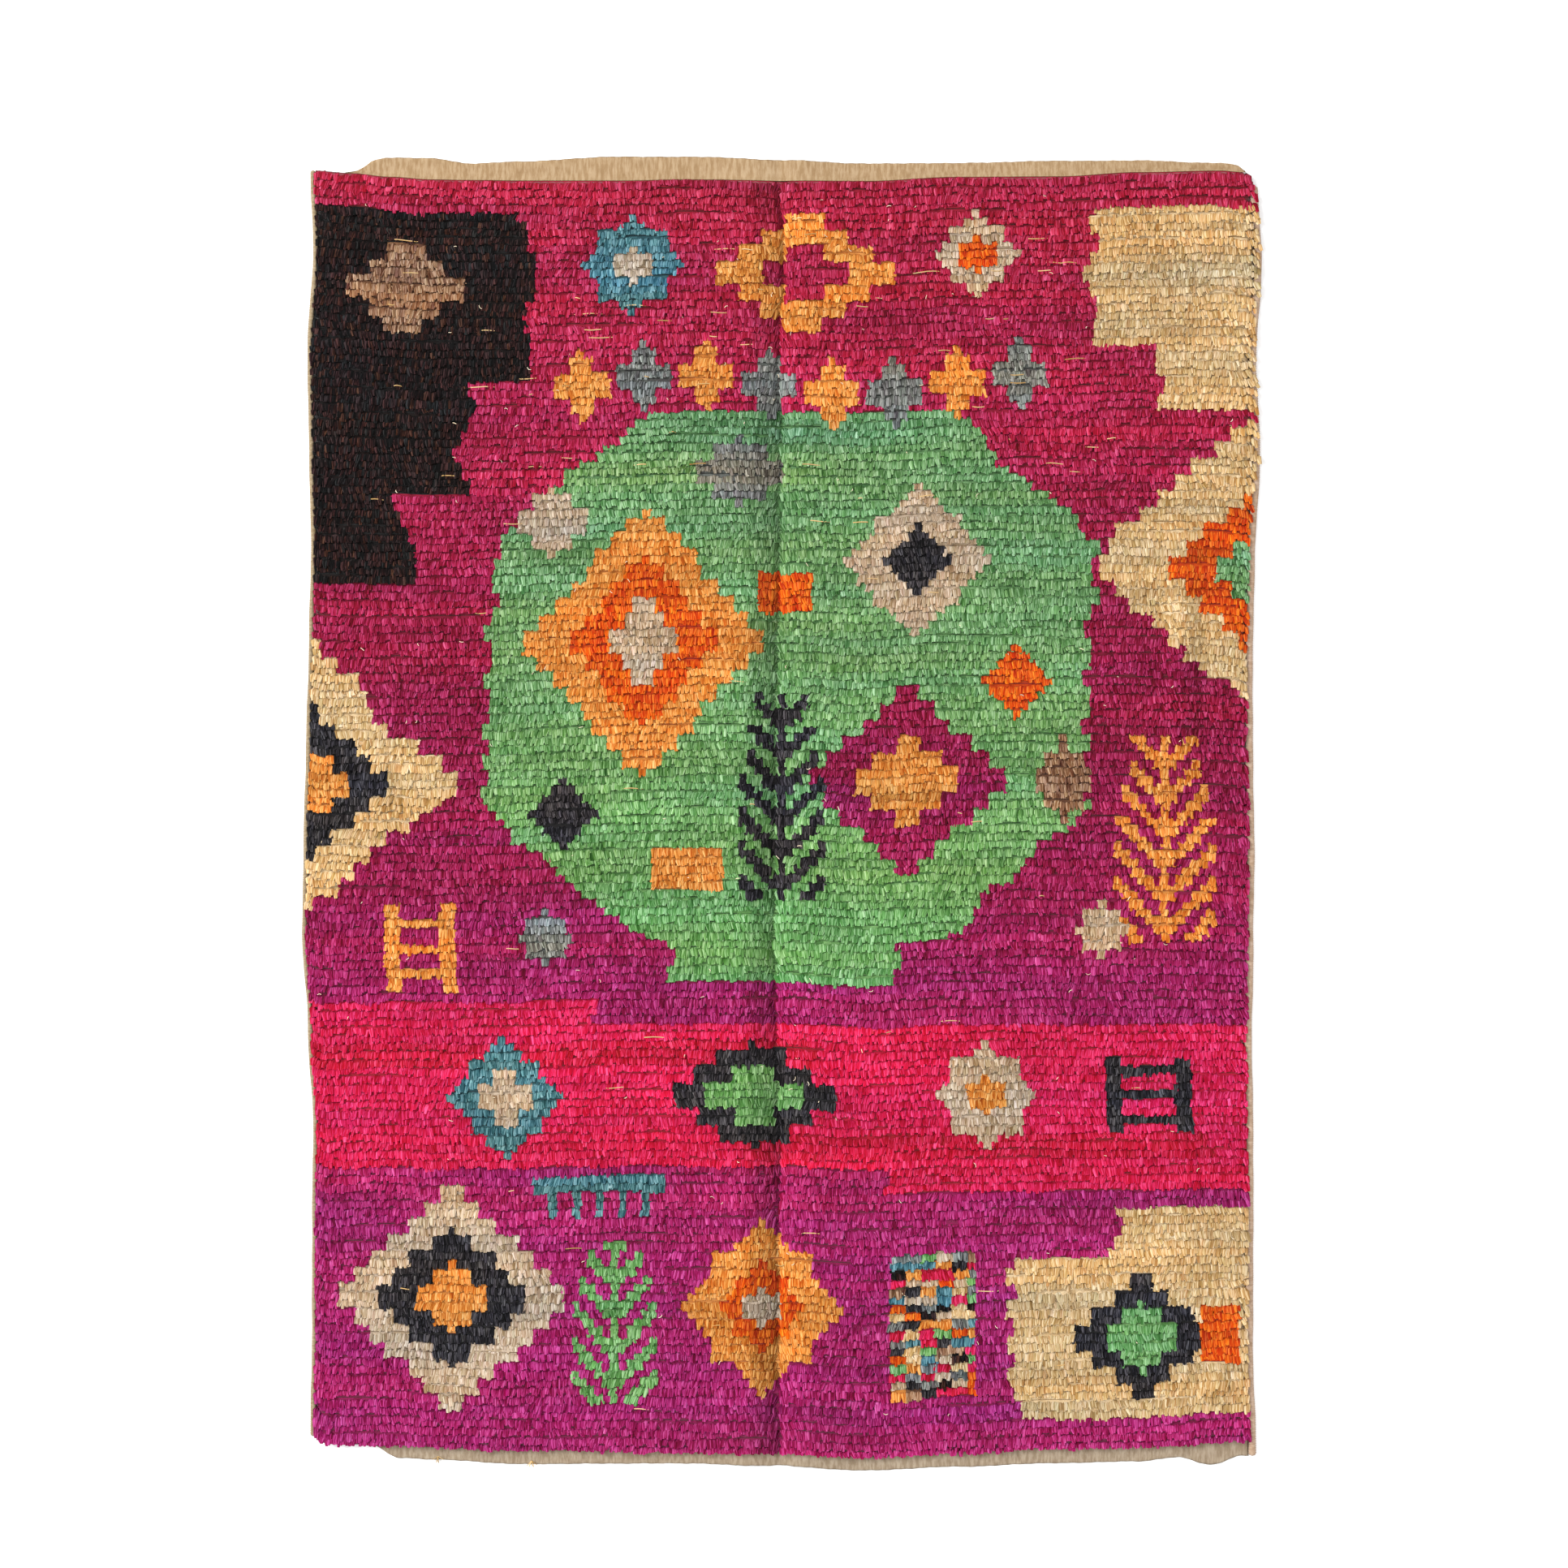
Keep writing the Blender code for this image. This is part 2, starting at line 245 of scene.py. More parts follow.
@dataclass(frozen=True)
class Lie:
    """How the rug lies: its uneven outline, its bowed rows, its crease and its ripples."""

    half_width: float = 0.9037
    top_up: float = 1.212
    bottom_up: float = -1.215
    rows: int = 155
    knots: int = 120
    row_bow: float = 30 * MM
    left_cord: float = 9 * MM
    right_cord: float = 14 * MM
    crease_share: float = 0.497
    crease_crest: float = 0.028
    crease_foot: float = 0.0885
    crease_high_bottom: float = 7 * MM
    crease_high_top: float = 4 * MM

    def left(self, up: Values) -> np.ndarray:
        """The pile's left edge at a share of the length."""
        return -self.half_width - eased(SIDE_STOPS, up, "left_mm") + self.left_cord

    def right(self, up: Values) -> np.ndarray:
        """The pile's right edge at a share of the length."""
        return self.half_width + eased(SIDE_STOPS, up, "right_mm") - self.right_cord

    def top_line(self, x: Values) -> np.ndarray:
        """Where the pile ends at the top."""
        return self.top_up + eased(TOP_STOPS, x, "up_mm")

    def bottom_line(self, x: Values) -> np.ndarray:
        """Where the pile ends at the bottom."""
        return self.bottom_up + eased(BOTTOM_STOPS, x, "up_mm")

    def up_at(self, y: np.ndarray) -> np.ndarray:
        """The share of the nominal length that a place lies at."""
        return (y - self.bottom_up) / (self.top_up - self.bottom_up)

    def from_crease(self, x: np.ndarray, up: Values) -> np.ndarray:
        """How far to the right of the crease a place is."""
        return x - mix(self.left(up), self.right(up), self.crease_share)

    def place(self, across: Values, up: Values) -> tuple[np.ndarray, np.ndarray]:
        """The place of a share of the pile's width and length.

        Args:
            across: shares of the width, from the left.
            up: shares of the length, from the bottom.

        Returns:
            x and y, before the rug is centred.
        """
        nominal = mix(-self.half_width + self.left_cord, self.half_width - self.right_cord, across)
        bow = self.row_bow * np.sin(np.pi * np.clip(up, 0, 1)) * 4 * across * (1 - across)
        x = mix(self.left(up), self.right(up), across)
        return x, mix(self.bottom_line(nominal), self.top_line(nominal), up) + bow

    def lift(self, across: np.ndarray, x: np.ndarray, y: np.ndarray) -> np.ndarray:
        """How high the ripples and the swells beside the crease raise the cloth from the floor.

        Args:
            across: shares of the pile's width.
            x: the places of those shares across.
            y: the places up the rug.

        Returns:
            Heights above the floor.
        """
        beside = abs(across - self.crease_share)
        rising = np.sin(np.pi / 2 * np.minimum(beside / self.crease_crest, 1))
        past = np.clip((beside - self.crease_crest) / (self.crease_foot - self.crease_crest), 0, 1)
        swell = mix(self.crease_high_bottom, self.crease_high_top, self.up_at(y))
        return swell * rising * np.cos(np.pi / 2 * past) ** 2 + self.ripples(x, y)

    def ripples(self, x: np.ndarray, y: np.ndarray) -> np.ndarray:
        """How high the ripples alone raise the cloth.

        Args:
            x: places across the rug.
            y: places up the rug.

        Returns:
            Heights above the floor.
        """
        high = 0.0
        for fold in FOLDS:
            heading = math.radians(fold.heading_deg)
            along = (x - fold.across) * math.cos(heading) + (y - fold.up) * math.sin(heading)
            aside = (y - fold.up) * math.cos(heading) - (x - fold.across) * math.sin(heading)
            along = np.minimum(abs(along) / fold.half_length, 1)
            aside = np.minimum(abs(aside) / fold.half_width, 1)
            swell = (1 + np.cos(np.pi * along)) / 2 * (1 + np.cos(np.pi * aside)) / 2
            high = high + fold.high_mm * MM * swell
        return high

    def centre(self) -> np.ndarray:
        """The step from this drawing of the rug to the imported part, measured on the pile's box.

        Returns:
            The step in x, y and z.
        """
        share = np.linspace(0, 1, 400)
        low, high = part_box("rug_field")
        left = self.left(share).min()
        right = self.right(share).max()
        bottom = self.place(share, 0.0)[1].min()
        top = self.place(share, 1.0)[1].max()
        return np.array([(low[0] + high[0] - left - right) / 2, (low[1] + high[1] - bottom - top) / 2, 0])


def values_of(
    items: bpy.types.bpy_prop_collection, name: str, wide: int = 1, kind: type = float
) -> np.ndarray:
    """Reads one value of all the items of a mesh.

    Args:
        items: the mesh's points, edges, corners or faces, or what a map or an attribute holds for them.
        name: the value's name.
        wide: how many numbers the value has.
        kind: the numbers' type.

    Returns:
        The values, in a row for each item where a value has several numbers.
    """
    values = np.empty(len(items) * wide, kind)
    items.foreach_get(name, values)
    return values.reshape(-1, wide) if wide > 1 else values


def points_of(piece: Object) -> np.ndarray:
    """The piece's points as an array of one row each."""
    return values_of(piece.data.vertices, "co", 3)


def deselect_all() -> None:
    """Leaves no object selected, so that an operator acts on the new piece alone."""
    bpy.ops.object.select_all(action="DESELECT")


def closed_sheet(name: str, along_steps: int, round_steps: int, surface: Surface) -> Object:
    """A closed piece from a grid primitive laid over a surface, wrapped round and welded where it meets.

    Args:
        name: the piece's name.
        along_steps: faces along the piece.
        round_steps: faces round its section.
        surface: gives the points for shares along the piece and round its section.

    Returns:
        The piece, smooth, with the grid's own map as its bake map.
    """
    deselect_all()
    bpy.ops.mesh.primitive_grid_add(x_subdivisions=along_steps, y_subdivisions=round_steps, size=1)
    piece = bpy.context.object
    piece.name = piece.data.name = name
    flat = points_of(piece) + 0.5
    piece.data.vertices.foreach_set("co", surface(flat[:, 0], flat[:, 1]).ravel())
    piece.data.uv_layers[0].name = BAKE_MAP
    bpy.ops.object.mode_set(mode="EDIT")
    bpy.ops.mesh.select_all(action="SELECT")
    bpy.ops.mesh.remove_doubles(threshold=0.01 * MM)
    bpy.ops.mesh.normals_make_consistent(inside=False)
    bpy.ops.object.mode_set(mode="OBJECT")
    bpy.ops.object.shade_smooth()
    return piece


class Yarn(Enum):
    """The yarns of the rug, each a dye lot or an undyed wool."""

    GROUND = "madder and magenta, changing up the rug"
    PINK = "hot pink"
    ROSE = "deep rose"
    GREEN = "leaf green, greyer towards the top"
    ORANGE = "orange"
    RUST = "red orange"
    TEAL = "greyed blue"
    CREAM = "undyed cream"
    IVORY = "undyed ivory"
    CHARCOAL = "charcoal"
    UMBER = "brown black"
    GREY = "heathered grey"
    TAUPE = "heathered brown"


YARNS = tuple(Yarn)
GROUND, PINK, ROSE, GREEN, ORANGE, RUST, TEAL, CREAM, IVORY, CHARCOAL, UMBER, GREY, TAUPE = YARNS


class Shade(NamedTuple):
    """The two colours that a dye lot wavers between, at a share of the rug's length."""

    up: float
    light: str
    dark: str


SHADES: dict[Yarn, tuple[Shade, ...]] = {
    Yarn.GROUND: (
        Shade(0.00, "#891c55", "#72093d"),
        Shade(0.30, "#85194f", "#6e0939"),
        Shade(0.55, "#7a1337", "#620423"),
        Shade(0.80, "#8e1739", "#720b28"),
        Shade(1.00, "#8f1832", "#760c23"),
    ),
    Yarn.PINK: (Shade(0, "#ad173f", "#9a0a30"),),
    Yarn.ROSE: (Shade(0, "#a41032", "#8c0a20"),),
    Yarn.GREEN: (
        Shade(0.40, "#5f894e", "#456e39"),
        Shade(0.62, "#5f8451", "#486c40"),
        Shade(0.80, "#5a7f53", "#466b41"),
    ),
    Yarn.ORANGE: (Shade(0, "#b87332", "#a25f21"),),
    Yarn.RUST: (Shade(0, "#b24400", "#a23600"),),
    Yarn.TEAL: (Shade(0, "#41696f", "#2c4e55"),),
    Yarn.CREAM: (Shade(0, "#ae8e61", "#9d7e53"),),
    Yarn.IVORY: (Shade(0, "#9c8772", "#8c775d"),),
    Yarn.CHARCOAL: (Shade(0, "#221f20", "#171519"),),
    Yarn.UMBER: (Shade(0, "#1a0803", "#050101"),),
    Yarn.GREY: (Shade(0, "#646863", "#4e4c4b"),),
    Yarn.TAUPE: (Shade(0, "#816045", "#5a3b2c"),),
}


class Shape(Enum):
    """The plain forms that the motifs are made of."""

    BLOCK = "block"
    LOZENGE = "lozenge"
    OCTAGON = "octagon"
    STAR = "eight-point star"
    EAR = "barley ear"
    LADDER = "ladder"
    COMB = "comb"


BLOCK, LOZENGE, OCTAGON, STAR, EAR, LADDER, COMB = Shape


class Figure(NamedTuple):
    """A form on the chart: its middle and half sizes in knots, and its yarn."""

    shape: Shape
    across: float
    up: float
    half_wide: float
    half_high: float
    yarn: Yarn


FIELDS = tuple(starmap(Figure, (
    (BLOCK, 60, 42, 62, 8, PINK), (BLOCK, 16, 51, 19, 2, PINK), (BLOCK, 98, 33, 24, 2, PINK),
    (BLOCK, 84, 36, 30, 1, ROSE), (BLOCK, 30, 47, 34, 1, ROSE), (OCTAGON, 60, 93, 38, 32, GREEN),
    (BLOCK, 60, 60, 14, 4, GREEN), (BLOCK, 7, 140, 20, 10, UMBER), (BLOCK, 4, 124, 15, 8, UMBER),
    (BLOCK, 1, 111, 10, 6, UMBER), (BLOCK, 108, 13, 19, 9, CREAM), (BLOCK, 113, 24, 10, 4, CREAM),
    (BLOCK, 112, 142, 14, 8, CREAM), (BLOCK, 116, 131, 8, 5, CREAM), (LOZENGE, -1, 80, 19, 17, CREAM),
    (LOZENGE, 121, 106, 20, 18, CREAM),
)))

FIGURES = tuple(starmap(Figure, (
    (LOZENGE, -1, 80, 10, 9, CHARCOAL), (LOZENGE, -1, 80, 5, 4, ORANGE),
    (LOZENGE, 121, 106, 11, 10, RUST), (LOZENGE, 121, 106, 5, 5, GREEN),
    (LOZENGE, 42, 97, 15, 16, ORANGE), (LOZENGE, 42, 97, 9, 10, RUST), (LOZENGE, 42, 97, 4, 5, IVORY),
    (STAR, 77, 107, 9, 9, IVORY), (STAR, 77, 107, 4, 4, CHARCOAL), (LOZENGE, 76, 80, 12, 11, GROUND),
    (LOZENGE, 76, 80, 6, 5, ORANGE), (EAR, 60, 78, 5, 12, CHARCOAL), (STAR, 90, 92, 4, 4, RUST),
    (STAR, 32, 76, 4, 4, CHARCOAL), (LOZENGE, 54, 118, 5, 4, GREY), (LOZENGE, 30, 112, 4, 4, IVORY),
    (BLOCK, 60, 103, 3, 2, RUST), (BLOCK, 48, 69, 4, 2, ORANGE), (LOZENGE, 96, 80, 3, 5, TAUPE),
    (STAR, 40, 144, 6, 6, TEAL), (LOZENGE, 40, 144, 2, 2, IVORY), (LOZENGE, 62, 143, 11, 7, ORANGE),
    (LOZENGE, 62, 143, 5, 3, GROUND), (STAR, 84, 145, 5, 5, IVORY), (LOZENGE, 84, 145, 2, 2, RUST),
    (LOZENGE, 11, 141, 7, 5, TAUPE), (EAR, 109, 73, 6, 12, ORANGE), (LADDER, 14, 60, 4, 5, ORANGE),
    (STAR, 30, 61, 3, 3, GREY), (STAR, 101, 62, 3, 3, IVORY), (STAR, 24, 42, 7, 7, TEAL),
    (LOZENGE, 24, 42, 3, 3, IVORY), (LOZENGE, 56, 42, 10, 6, CHARCOAL), (LOZENGE, 56, 42, 6, 3, GREEN),
    (STAR, 86, 42, 6, 6, IVORY), (LOZENGE, 86, 42, 2, 2, ORANGE), (LADDER, 107, 42, 5, 4, CHARCOAL),
    (LOZENGE, 17, 18, 14, 13, IVORY), (LOZENGE, 17, 18, 9, 8, CHARCOAL),
    (LOZENGE, 17, 18, 4, 4, ORANGE), (EAR, 38, 15, 5, 9, GREEN), (STAR, 57, 17, 10, 10, ORANGE),
    (STAR, 57, 17, 5, 5, RUST), (LOZENGE, 57, 17, 2, 2, IVORY), (COMB, 36, 30, 8, 2, TEAL),
    (LOZENGE, 106, 13, 8, 7, CHARCOAL), (LOZENGE, 106, 13, 4, 4, GREEN), (BLOCK, 116, 13, 2, 3, RUST),
)))


@dataclass
class Chart:
    """The rug's design, one yarn for each knot: common motifs laid out freely on changing grounds."""

    rows: int
    knots: int
    seed: int = 11
    lozenge_row_up: int = 129
    lozenge_row_from: int = 34
    lozenge_row_to: int = 96
    lozenge_row_pitch: int = 8
    motley_middle: tuple[int, int] = (79, 15)
    motley_half: tuple[int, int] = (5, 8)
    bottom_line_rows: int = 2
    top_line_rows: int = 1
    field_waver: int = 2

    def __post_init__(self) -> None:
        """Charts the whole rug."""
        self.rng = np.random.default_rng(self.seed)
        self.up, self.across = np.mgrid[0 : self.rows, 0 : self.knots]
        self.yarns = np.full((self.rows, self.knots), YARNS.index(Yarn.GROUND))
        for figure in FIELDS:
            self.work(figure, self.field_waver)
        for figure in FIGURES:
            self.work(figure)
        self.work_lozenge_row()
        self.work_motley()
        self.yarns[: self.bottom_line_rows] = YARNS.index(Yarn.GROUND)
        self.yarns[-self.top_line_rows :] = YARNS.index(Yarn.GROUND)

    def work(self, figure: Figure, waver: int = 0) -> None:
        """Charts a figure.

        Args:
            figure: the form, its place and its yarn.
            waver: how many knots its edges wander from pair to pair of rows.
        """
        steps = np.cumsum(self.rng.integers(-1, 2, size=self.rows // 2 + 1))
        wander = np.clip(steps - steps[int(figure.up) // 2 % len(steps)], -waver, waver)[self.up // 2]
        out = (self.across - figure.across - wander) / (figure.half_wide + 0.5)
        high = (self.up - figure.up) / (figure.half_high + 0.5)
        self.yarns[self.covered(figure, out, high)] = YARNS.index(figure.yarn)

    def covered(self, figure: Figure, out: np.ndarray, high: np.ndarray) -> np.ndarray:
        """Which knots a figure covers.

        Args:
            figure: the form.
            out: each knot's place across it, 1 at its right edge.
            high: each knot's place up it, 1 at its top.

        Returns:
            An array of true and false.
        """
        inside = np.maximum(abs(out), abs(high)) <= 1
        stepped = np.floor(abs(self.up - figure.up) / 2) * 2 / (figure.half_high + 0.5)
        column = abs(self.across - figure.across)
        match figure.shape:
            case Shape.BLOCK:
                return inside
            case Shape.LOZENGE:
                return inside & (abs(out) + stepped <= 1)
            case Shape.OCTAGON:
                return inside & (abs(out) + abs(high) <= 1.5)
            case Shape.STAR:
                return (abs(out) + abs(high) <= 1) | (np.maximum(abs(out), abs(high)) <= 0.62)
            case Shape.EAR:
                leaf = (self.up - column - int(figure.up)) % 4 < 2
                return inside & ((column < 1) | (leaf & (abs(out) < 1 - 0.4 * high)))
            case Shape.LADDER:
                rung = (self.up - int(figure.up)) % 3 == 0
                return inside & (rung | (abs(out) > 1 - 1.4 / figure.half_wide))
            case Shape.COMB:
                tooth = (self.across - int(figure.across)) % 3 == 0
                return inside & (tooth | (high > 0.3))

    def work_lozenge_row(self) -> None:
        """Charts the row of small lozenges in two yarns by turns."""
        places = range(self.lozenge_row_from, self.lozenge_row_to + 1, self.lozenge_row_pitch)
        for turn, across in enumerate(places):
            yarn = (Yarn.ORANGE, Yarn.GREY)[turn % 2]
            sag = round(1.5 * math.sin(turn))
            self.work(Figure(Shape.LOZENGE, across, self.lozenge_row_up + sag, 3, 4, yarn))

    def work_motley(self) -> None:
        """Charts the block that is knotted from short ends of every yarn."""
        out = abs(self.across - self.motley_middle[0]) <= self.motley_half[0]
        high = abs(self.up - self.motley_middle[1]) <= self.motley_half[1]
        leftovers = self.rng.integers(1, len(YARNS), size=(self.rows, self.knots // 2 + 1))
        self.yarns[out & high] = np.repeat(leftovers, 2, axis=1)[:, : self.knots][out & high]

    def shades(self) -> tuple[np.ndarray, np.ndarray]:
        """The light and the dark colour of each knot's yarn, linear, as rows by knots by 3.

        Returns:
            The light colours and the dark ones.
        """
        light = np.empty((self.rows, self.knots, 3))
        dark = np.empty((self.rows, self.knots, 3))
        up = np.linspace(0, 1, self.rows)
        for yarn, shades in SHADES.items():
            here = self.yarns == YARNS.index(yarn)
            places = [shade.up for shade in shades]
            for colours, wanted in ((light, "light"), (dark, "dark")):
                lots = np.array([linear(getattr(shade, wanted)) for shade in shades])
                by_row = np.array([np.interp(up, places, lots[:, part]) for part in range(3)]).T
                colours[here] = np.broadcast_to(by_row[:, None], colours.shape)[here]
        return light, dark


@dataclass(frozen=True)
class WoolFinish:
    """Spun wool: matt, with a soft sheen from loose fibres and fine streaks along each yarn.

    Wool scatters light in its fibres, so it is rough all over and shows no highlight. The fibres are
    too fine to show, so their streaks are drawn several times as coarse. With no colours of its own,
    the wool has those of the piece's dye.
    """

    name: str
    slot: str
    colours: tuple[str, str] | None = None
    roughness: float = 0.95
    specular: float = 0.08
    sheen: float = 0.02
    sheen_roughness: float = 0.6
    streaks_across: float = 4.5
    streaks_along: float = 1.4
    streak_depth: float = 0.36
    bump: float = 0.5
    bump_height: float = 0.5 * MM
    lots_per_metre: float = 60.0

    def material(self) -> Material:
        """Makes the material: the yarn's colour, streaked along its own map, and a bump of fibres.

        Returns:
            The material.
        """
        sockets = {"Roughness": self.roughness, "Specular IOR Level": self.specular}
        sockets |= {"Sheen Weight": self.sheen, "Sheen Roughness": self.sheen_roughness}
        material, tree, shader = new_material(self.name, sockets)
        along = add_node(tree, "ShaderNodeUVMap", {"uv_map": STRAND_MAP})
        scale = {"Scale": (self.streaks_across, self.streaks_along, 1)}
        stretch = add_node(tree, "ShaderNodeMapping", scale, {"Vector": along.outputs["UV"]})
        noise = {"noise_dimensions": "2D", "Scale": 1.0, "Detail": 3.0, "Roughness": 0.6}
        fibres = add_node(tree, "ShaderNodeTexNoise", noise, {"Vector": stretch.outputs["Vector"]})
        span = {"From Min": 0.38, "From Max": 0.62}
        span |= {"To Min": 1 + self.streak_depth, "To Max": 1 - self.streak_depth}
        shading = add_node(tree, "ShaderNodeMapRange", span, {"Value": fibres.outputs["Fac"]})
        if self.colours is None:
            yarn = add_node(tree, "ShaderNodeAttribute", {"attribute_name": DYE}).outputs["Color"]
        else:
            light, dark = ((*linear(colour), 1) for colour in self.colours)
            place = add_node(tree, "ShaderNodeTexCoord").outputs["Object"]
            noise = {"Scale": self.lots_per_metre, "Detail": 2.0}
            lots = add_node(tree, "ShaderNodeTexNoise", noise, {"Vector": place}).outputs["Fac"]
            ends = {"data_type": "RGBA", 6: dark, 7: light}
            yarn = add_node(tree, "ShaderNodeMix", ends, {0: lots}).outputs[2]
        gamma = {"Color": yarn, "Gamma": shading.outputs["Result"]}
        streaked = add_node(tree, "ShaderNodeGamma", links=gamma)
        relief = {"Strength": self.bump, "Distance": self.bump_height}
        bump = add_node(tree, "ShaderNodeBump", relief, {"Height": fibres.outputs["Fac"]})
        tree.links.new(streaked.outputs["Color"], shader.inputs["Base Color"])
        tree.links.new(bump.outputs["Normal"], shader.inputs["Normal"])
        return material


@dataclass(frozen=True)
class Template:
    """A small form read from its mesh, to be stamped many times into joined meshes."""

    points: np.ndarray
    corners: np.ndarray
    starts: np.ndarray
    spread: np.ndarray
    along: np.ndarray
    ribbed: bool

    @classmethod
    def read(cls, piece: Object, ribbed: bool = False) -> "Template":
        """Reads a form and removes its object.

        Args:
            piece: a mesh whose map is the primitive's own, standing along +Z from 0 when first made.
            ribbed: whether the edges along its length stay sharp.

        Returns:
            The form; along holds each point's share of its length.
        """
        mesh = piece.data
        corners = values_of(mesh.loops, "vertex_index", kind=np.int32)
        starts = values_of(mesh.polygons, "loop_start", kind=np.int32)
        spread = values_of(mesh.uv_layers[0].data, "uv", 2)
        along = values_of(mesh.attributes["along"].data, "value")
        form = cls(points_of(piece), corners, starts, spread, along, ribbed)
        bpy.data.objects.remove(piece)
        return form


def stamped(name: str, form: Template, points: np.ndarray, colours: np.ndarray, seed: int) -> Object:
    """Joins many copies of a form into one piece.

    Args:
        name: the piece's name.
        form: the form that is copied.
        points: the copies' points, as copies by points by 3.
        colours: the copies' linear colours, as copies by points by 3.
        seed: for the place of each copy's streaks.

    Returns:
        The piece, smooth, with a bake map that gives each copy its own cell.
    """
    copies = len(points)
    mesh = bpy.data.meshes.new(name)
    mesh.vertices.add(copies * len(form.points))
    mesh.vertices.foreach_set("co", points.ravel())
    mesh.loops.add(copies * len(form.corners))
    steps = np.arange(copies)[:, None]
    mesh.loops.foreach_set("vertex_index", (form.corners + steps * len(form.points)).ravel())
    mesh.polygons.add(copies * len(form.starts))
    mesh.polygons.foreach_set("loop_start", (form.starts + steps * len(form.corners)).ravel())
    mesh.update(calc_edges=True)
    cut_ends = np.diff(np.append(form.starts, len(form.corners))) == 3
    mesh.attributes.new("sharp_face", "BOOLEAN", "FACE").data.foreach_set("value", np.tile(cut_ends, copies))
    ends = values_of(mesh.edges, "vertices", 2, np.int32) % len(form.points)
    reach = form.along[ends]
    beside = abs(form.points[:, 0])[ends].min(axis=1) > 0.5 * MM
    sharp = (abs(reach[:, 0] - reach[:, 1]) > 0.01) & beside & form.ribbed
    mesh.attributes.new("sharp_edge", "BOOLEAN", "EDGE").data.foreach_set("value", sharp)
    dye = mesh.color_attributes.new(DYE, "FLOAT_COLOR", "POINT")
    opaque = np.concatenate([colours, np.ones((*colours.shape[:2], 1))], axis=2)
    dye.data.foreach_set("color", opaque.ravel())
    side = math.ceil(math.sqrt(copies))
    cells = np.stack(np.divmod(np.arange(copies), side), axis=1)[:, None]
    margin = 0.06
    bake = (cells + margin + form.spread * (1 - 2 * margin)) / side
    mesh.uv_layers.new(name=BAKE_MAP).data.foreach_set("uv", bake.ravel())
    shifts = np.random.default_rng(seed).uniform(0, 50, size=(copies, 1, 2))
    mesh.uv_layers.new(name=STRAND_MAP).data.foreach_set("uv", (form.spread + shifts).ravel())
    piece = bpy.data.objects.new(name, mesh)
    bpy.context.scene.collection.objects.link(piece)
    return piece


def keep_strand_map(piece: Object, streaks: tuple[float, float]) -> None:
    """Adds the map that streaks follow on a woven piece: its bake map, scaled.

    Args:
        piece: a piece with a bake map.
        streaks: how many yarn lengths the piece is along its map's two directions.
    """
    scaled = values_of(piece.data.uv_layers[BAKE_MAP].data, "uv", 2) * streaks
    piece.data.uv_layers.new(name=STRAND_MAP).data.foreach_set("uv", scaled.ravel())


@dataclass(frozen=True)
class YarnEnd:
    """A cut end of pile yarn, leaning down the rug: sizes in millimetres."""

    root: float = 2.2
    belly: float = 4.8
    tip: float = 2.5
    belly_forward: float = 5.6
    belly_high: float = 11.0
    tip_forward: float = 18.0
    tip_high: float = 13.4
    belly_tilt_deg: float = 55
    tip_tilt_deg: float = 80
    flatness: float = 0.32

    def model(self) -> Template:
        """Models the end from a three-sided cone: cut across at its belly, each ring moved and tilted.

        Returns:
            The form.
        """
        length = self.tip_high * MM
        rings = ((length * BELLY_SHARE, self.belly, self.belly_forward, self.belly_high, self.belly_tilt_deg),
                 (length, self.tip, self.tip_forward, self.tip_high, self.tip_tilt_deg))
        deselect_all()
        root = self.root * MM
        bpy.ops.mesh.primitive_cone_add(
            vertices=3, radius1=root, radius2=root, depth=length, location=(0, 0, length / 2)
        )
        piece = bpy.context.object
        bpy.ops.object.transform_apply(location=True, rotation=True, scale=True)
        bpy.ops.object.mode_set(mode="EDIT")
        bpy.ops.mesh.select_all(action="SELECT")
        bpy.ops.mesh.bisect(plane_co=(0, 0, length * BELLY_SHARE), plane_no=(0, 0, 1))
        bpy.ops.mesh.select_all(action="DESELECT")
        bpy.ops.object.mode_set(mode="OBJECT")
        heights = points_of(piece)[:, 2]
        piece.data.attributes.new("along", "FLOAT", "POINT").data.foreach_set("value", heights / length)
        for height, radius, forward, high, tilt in rings:
            piece.data.vertices.foreach_set("select", abs(heights - height) < 0.1 * MM)
            bpy.ops.object.mode_set(mode="EDIT")
            bpy.ops.mesh.select_mode(type="VERT")
            centre = (0, 0, height)
            grow = radius / self.root
            bpy.ops.transform.resize(value=(grow, grow * self.flatness, 1), center_override=centre)
            bpy.ops.transform.rotate(value=math.radians(-tilt), orient_axis="X", center_override=centre)
            bpy.ops.transform.translate(value=(0, -forward * MM, high * MM - height))
            bpy.ops.mesh.select_all(action="DESELECT")
            bpy.ops.object.mode_set(mode="OBJECT")
        return Template.read(piece, ribbed=True)


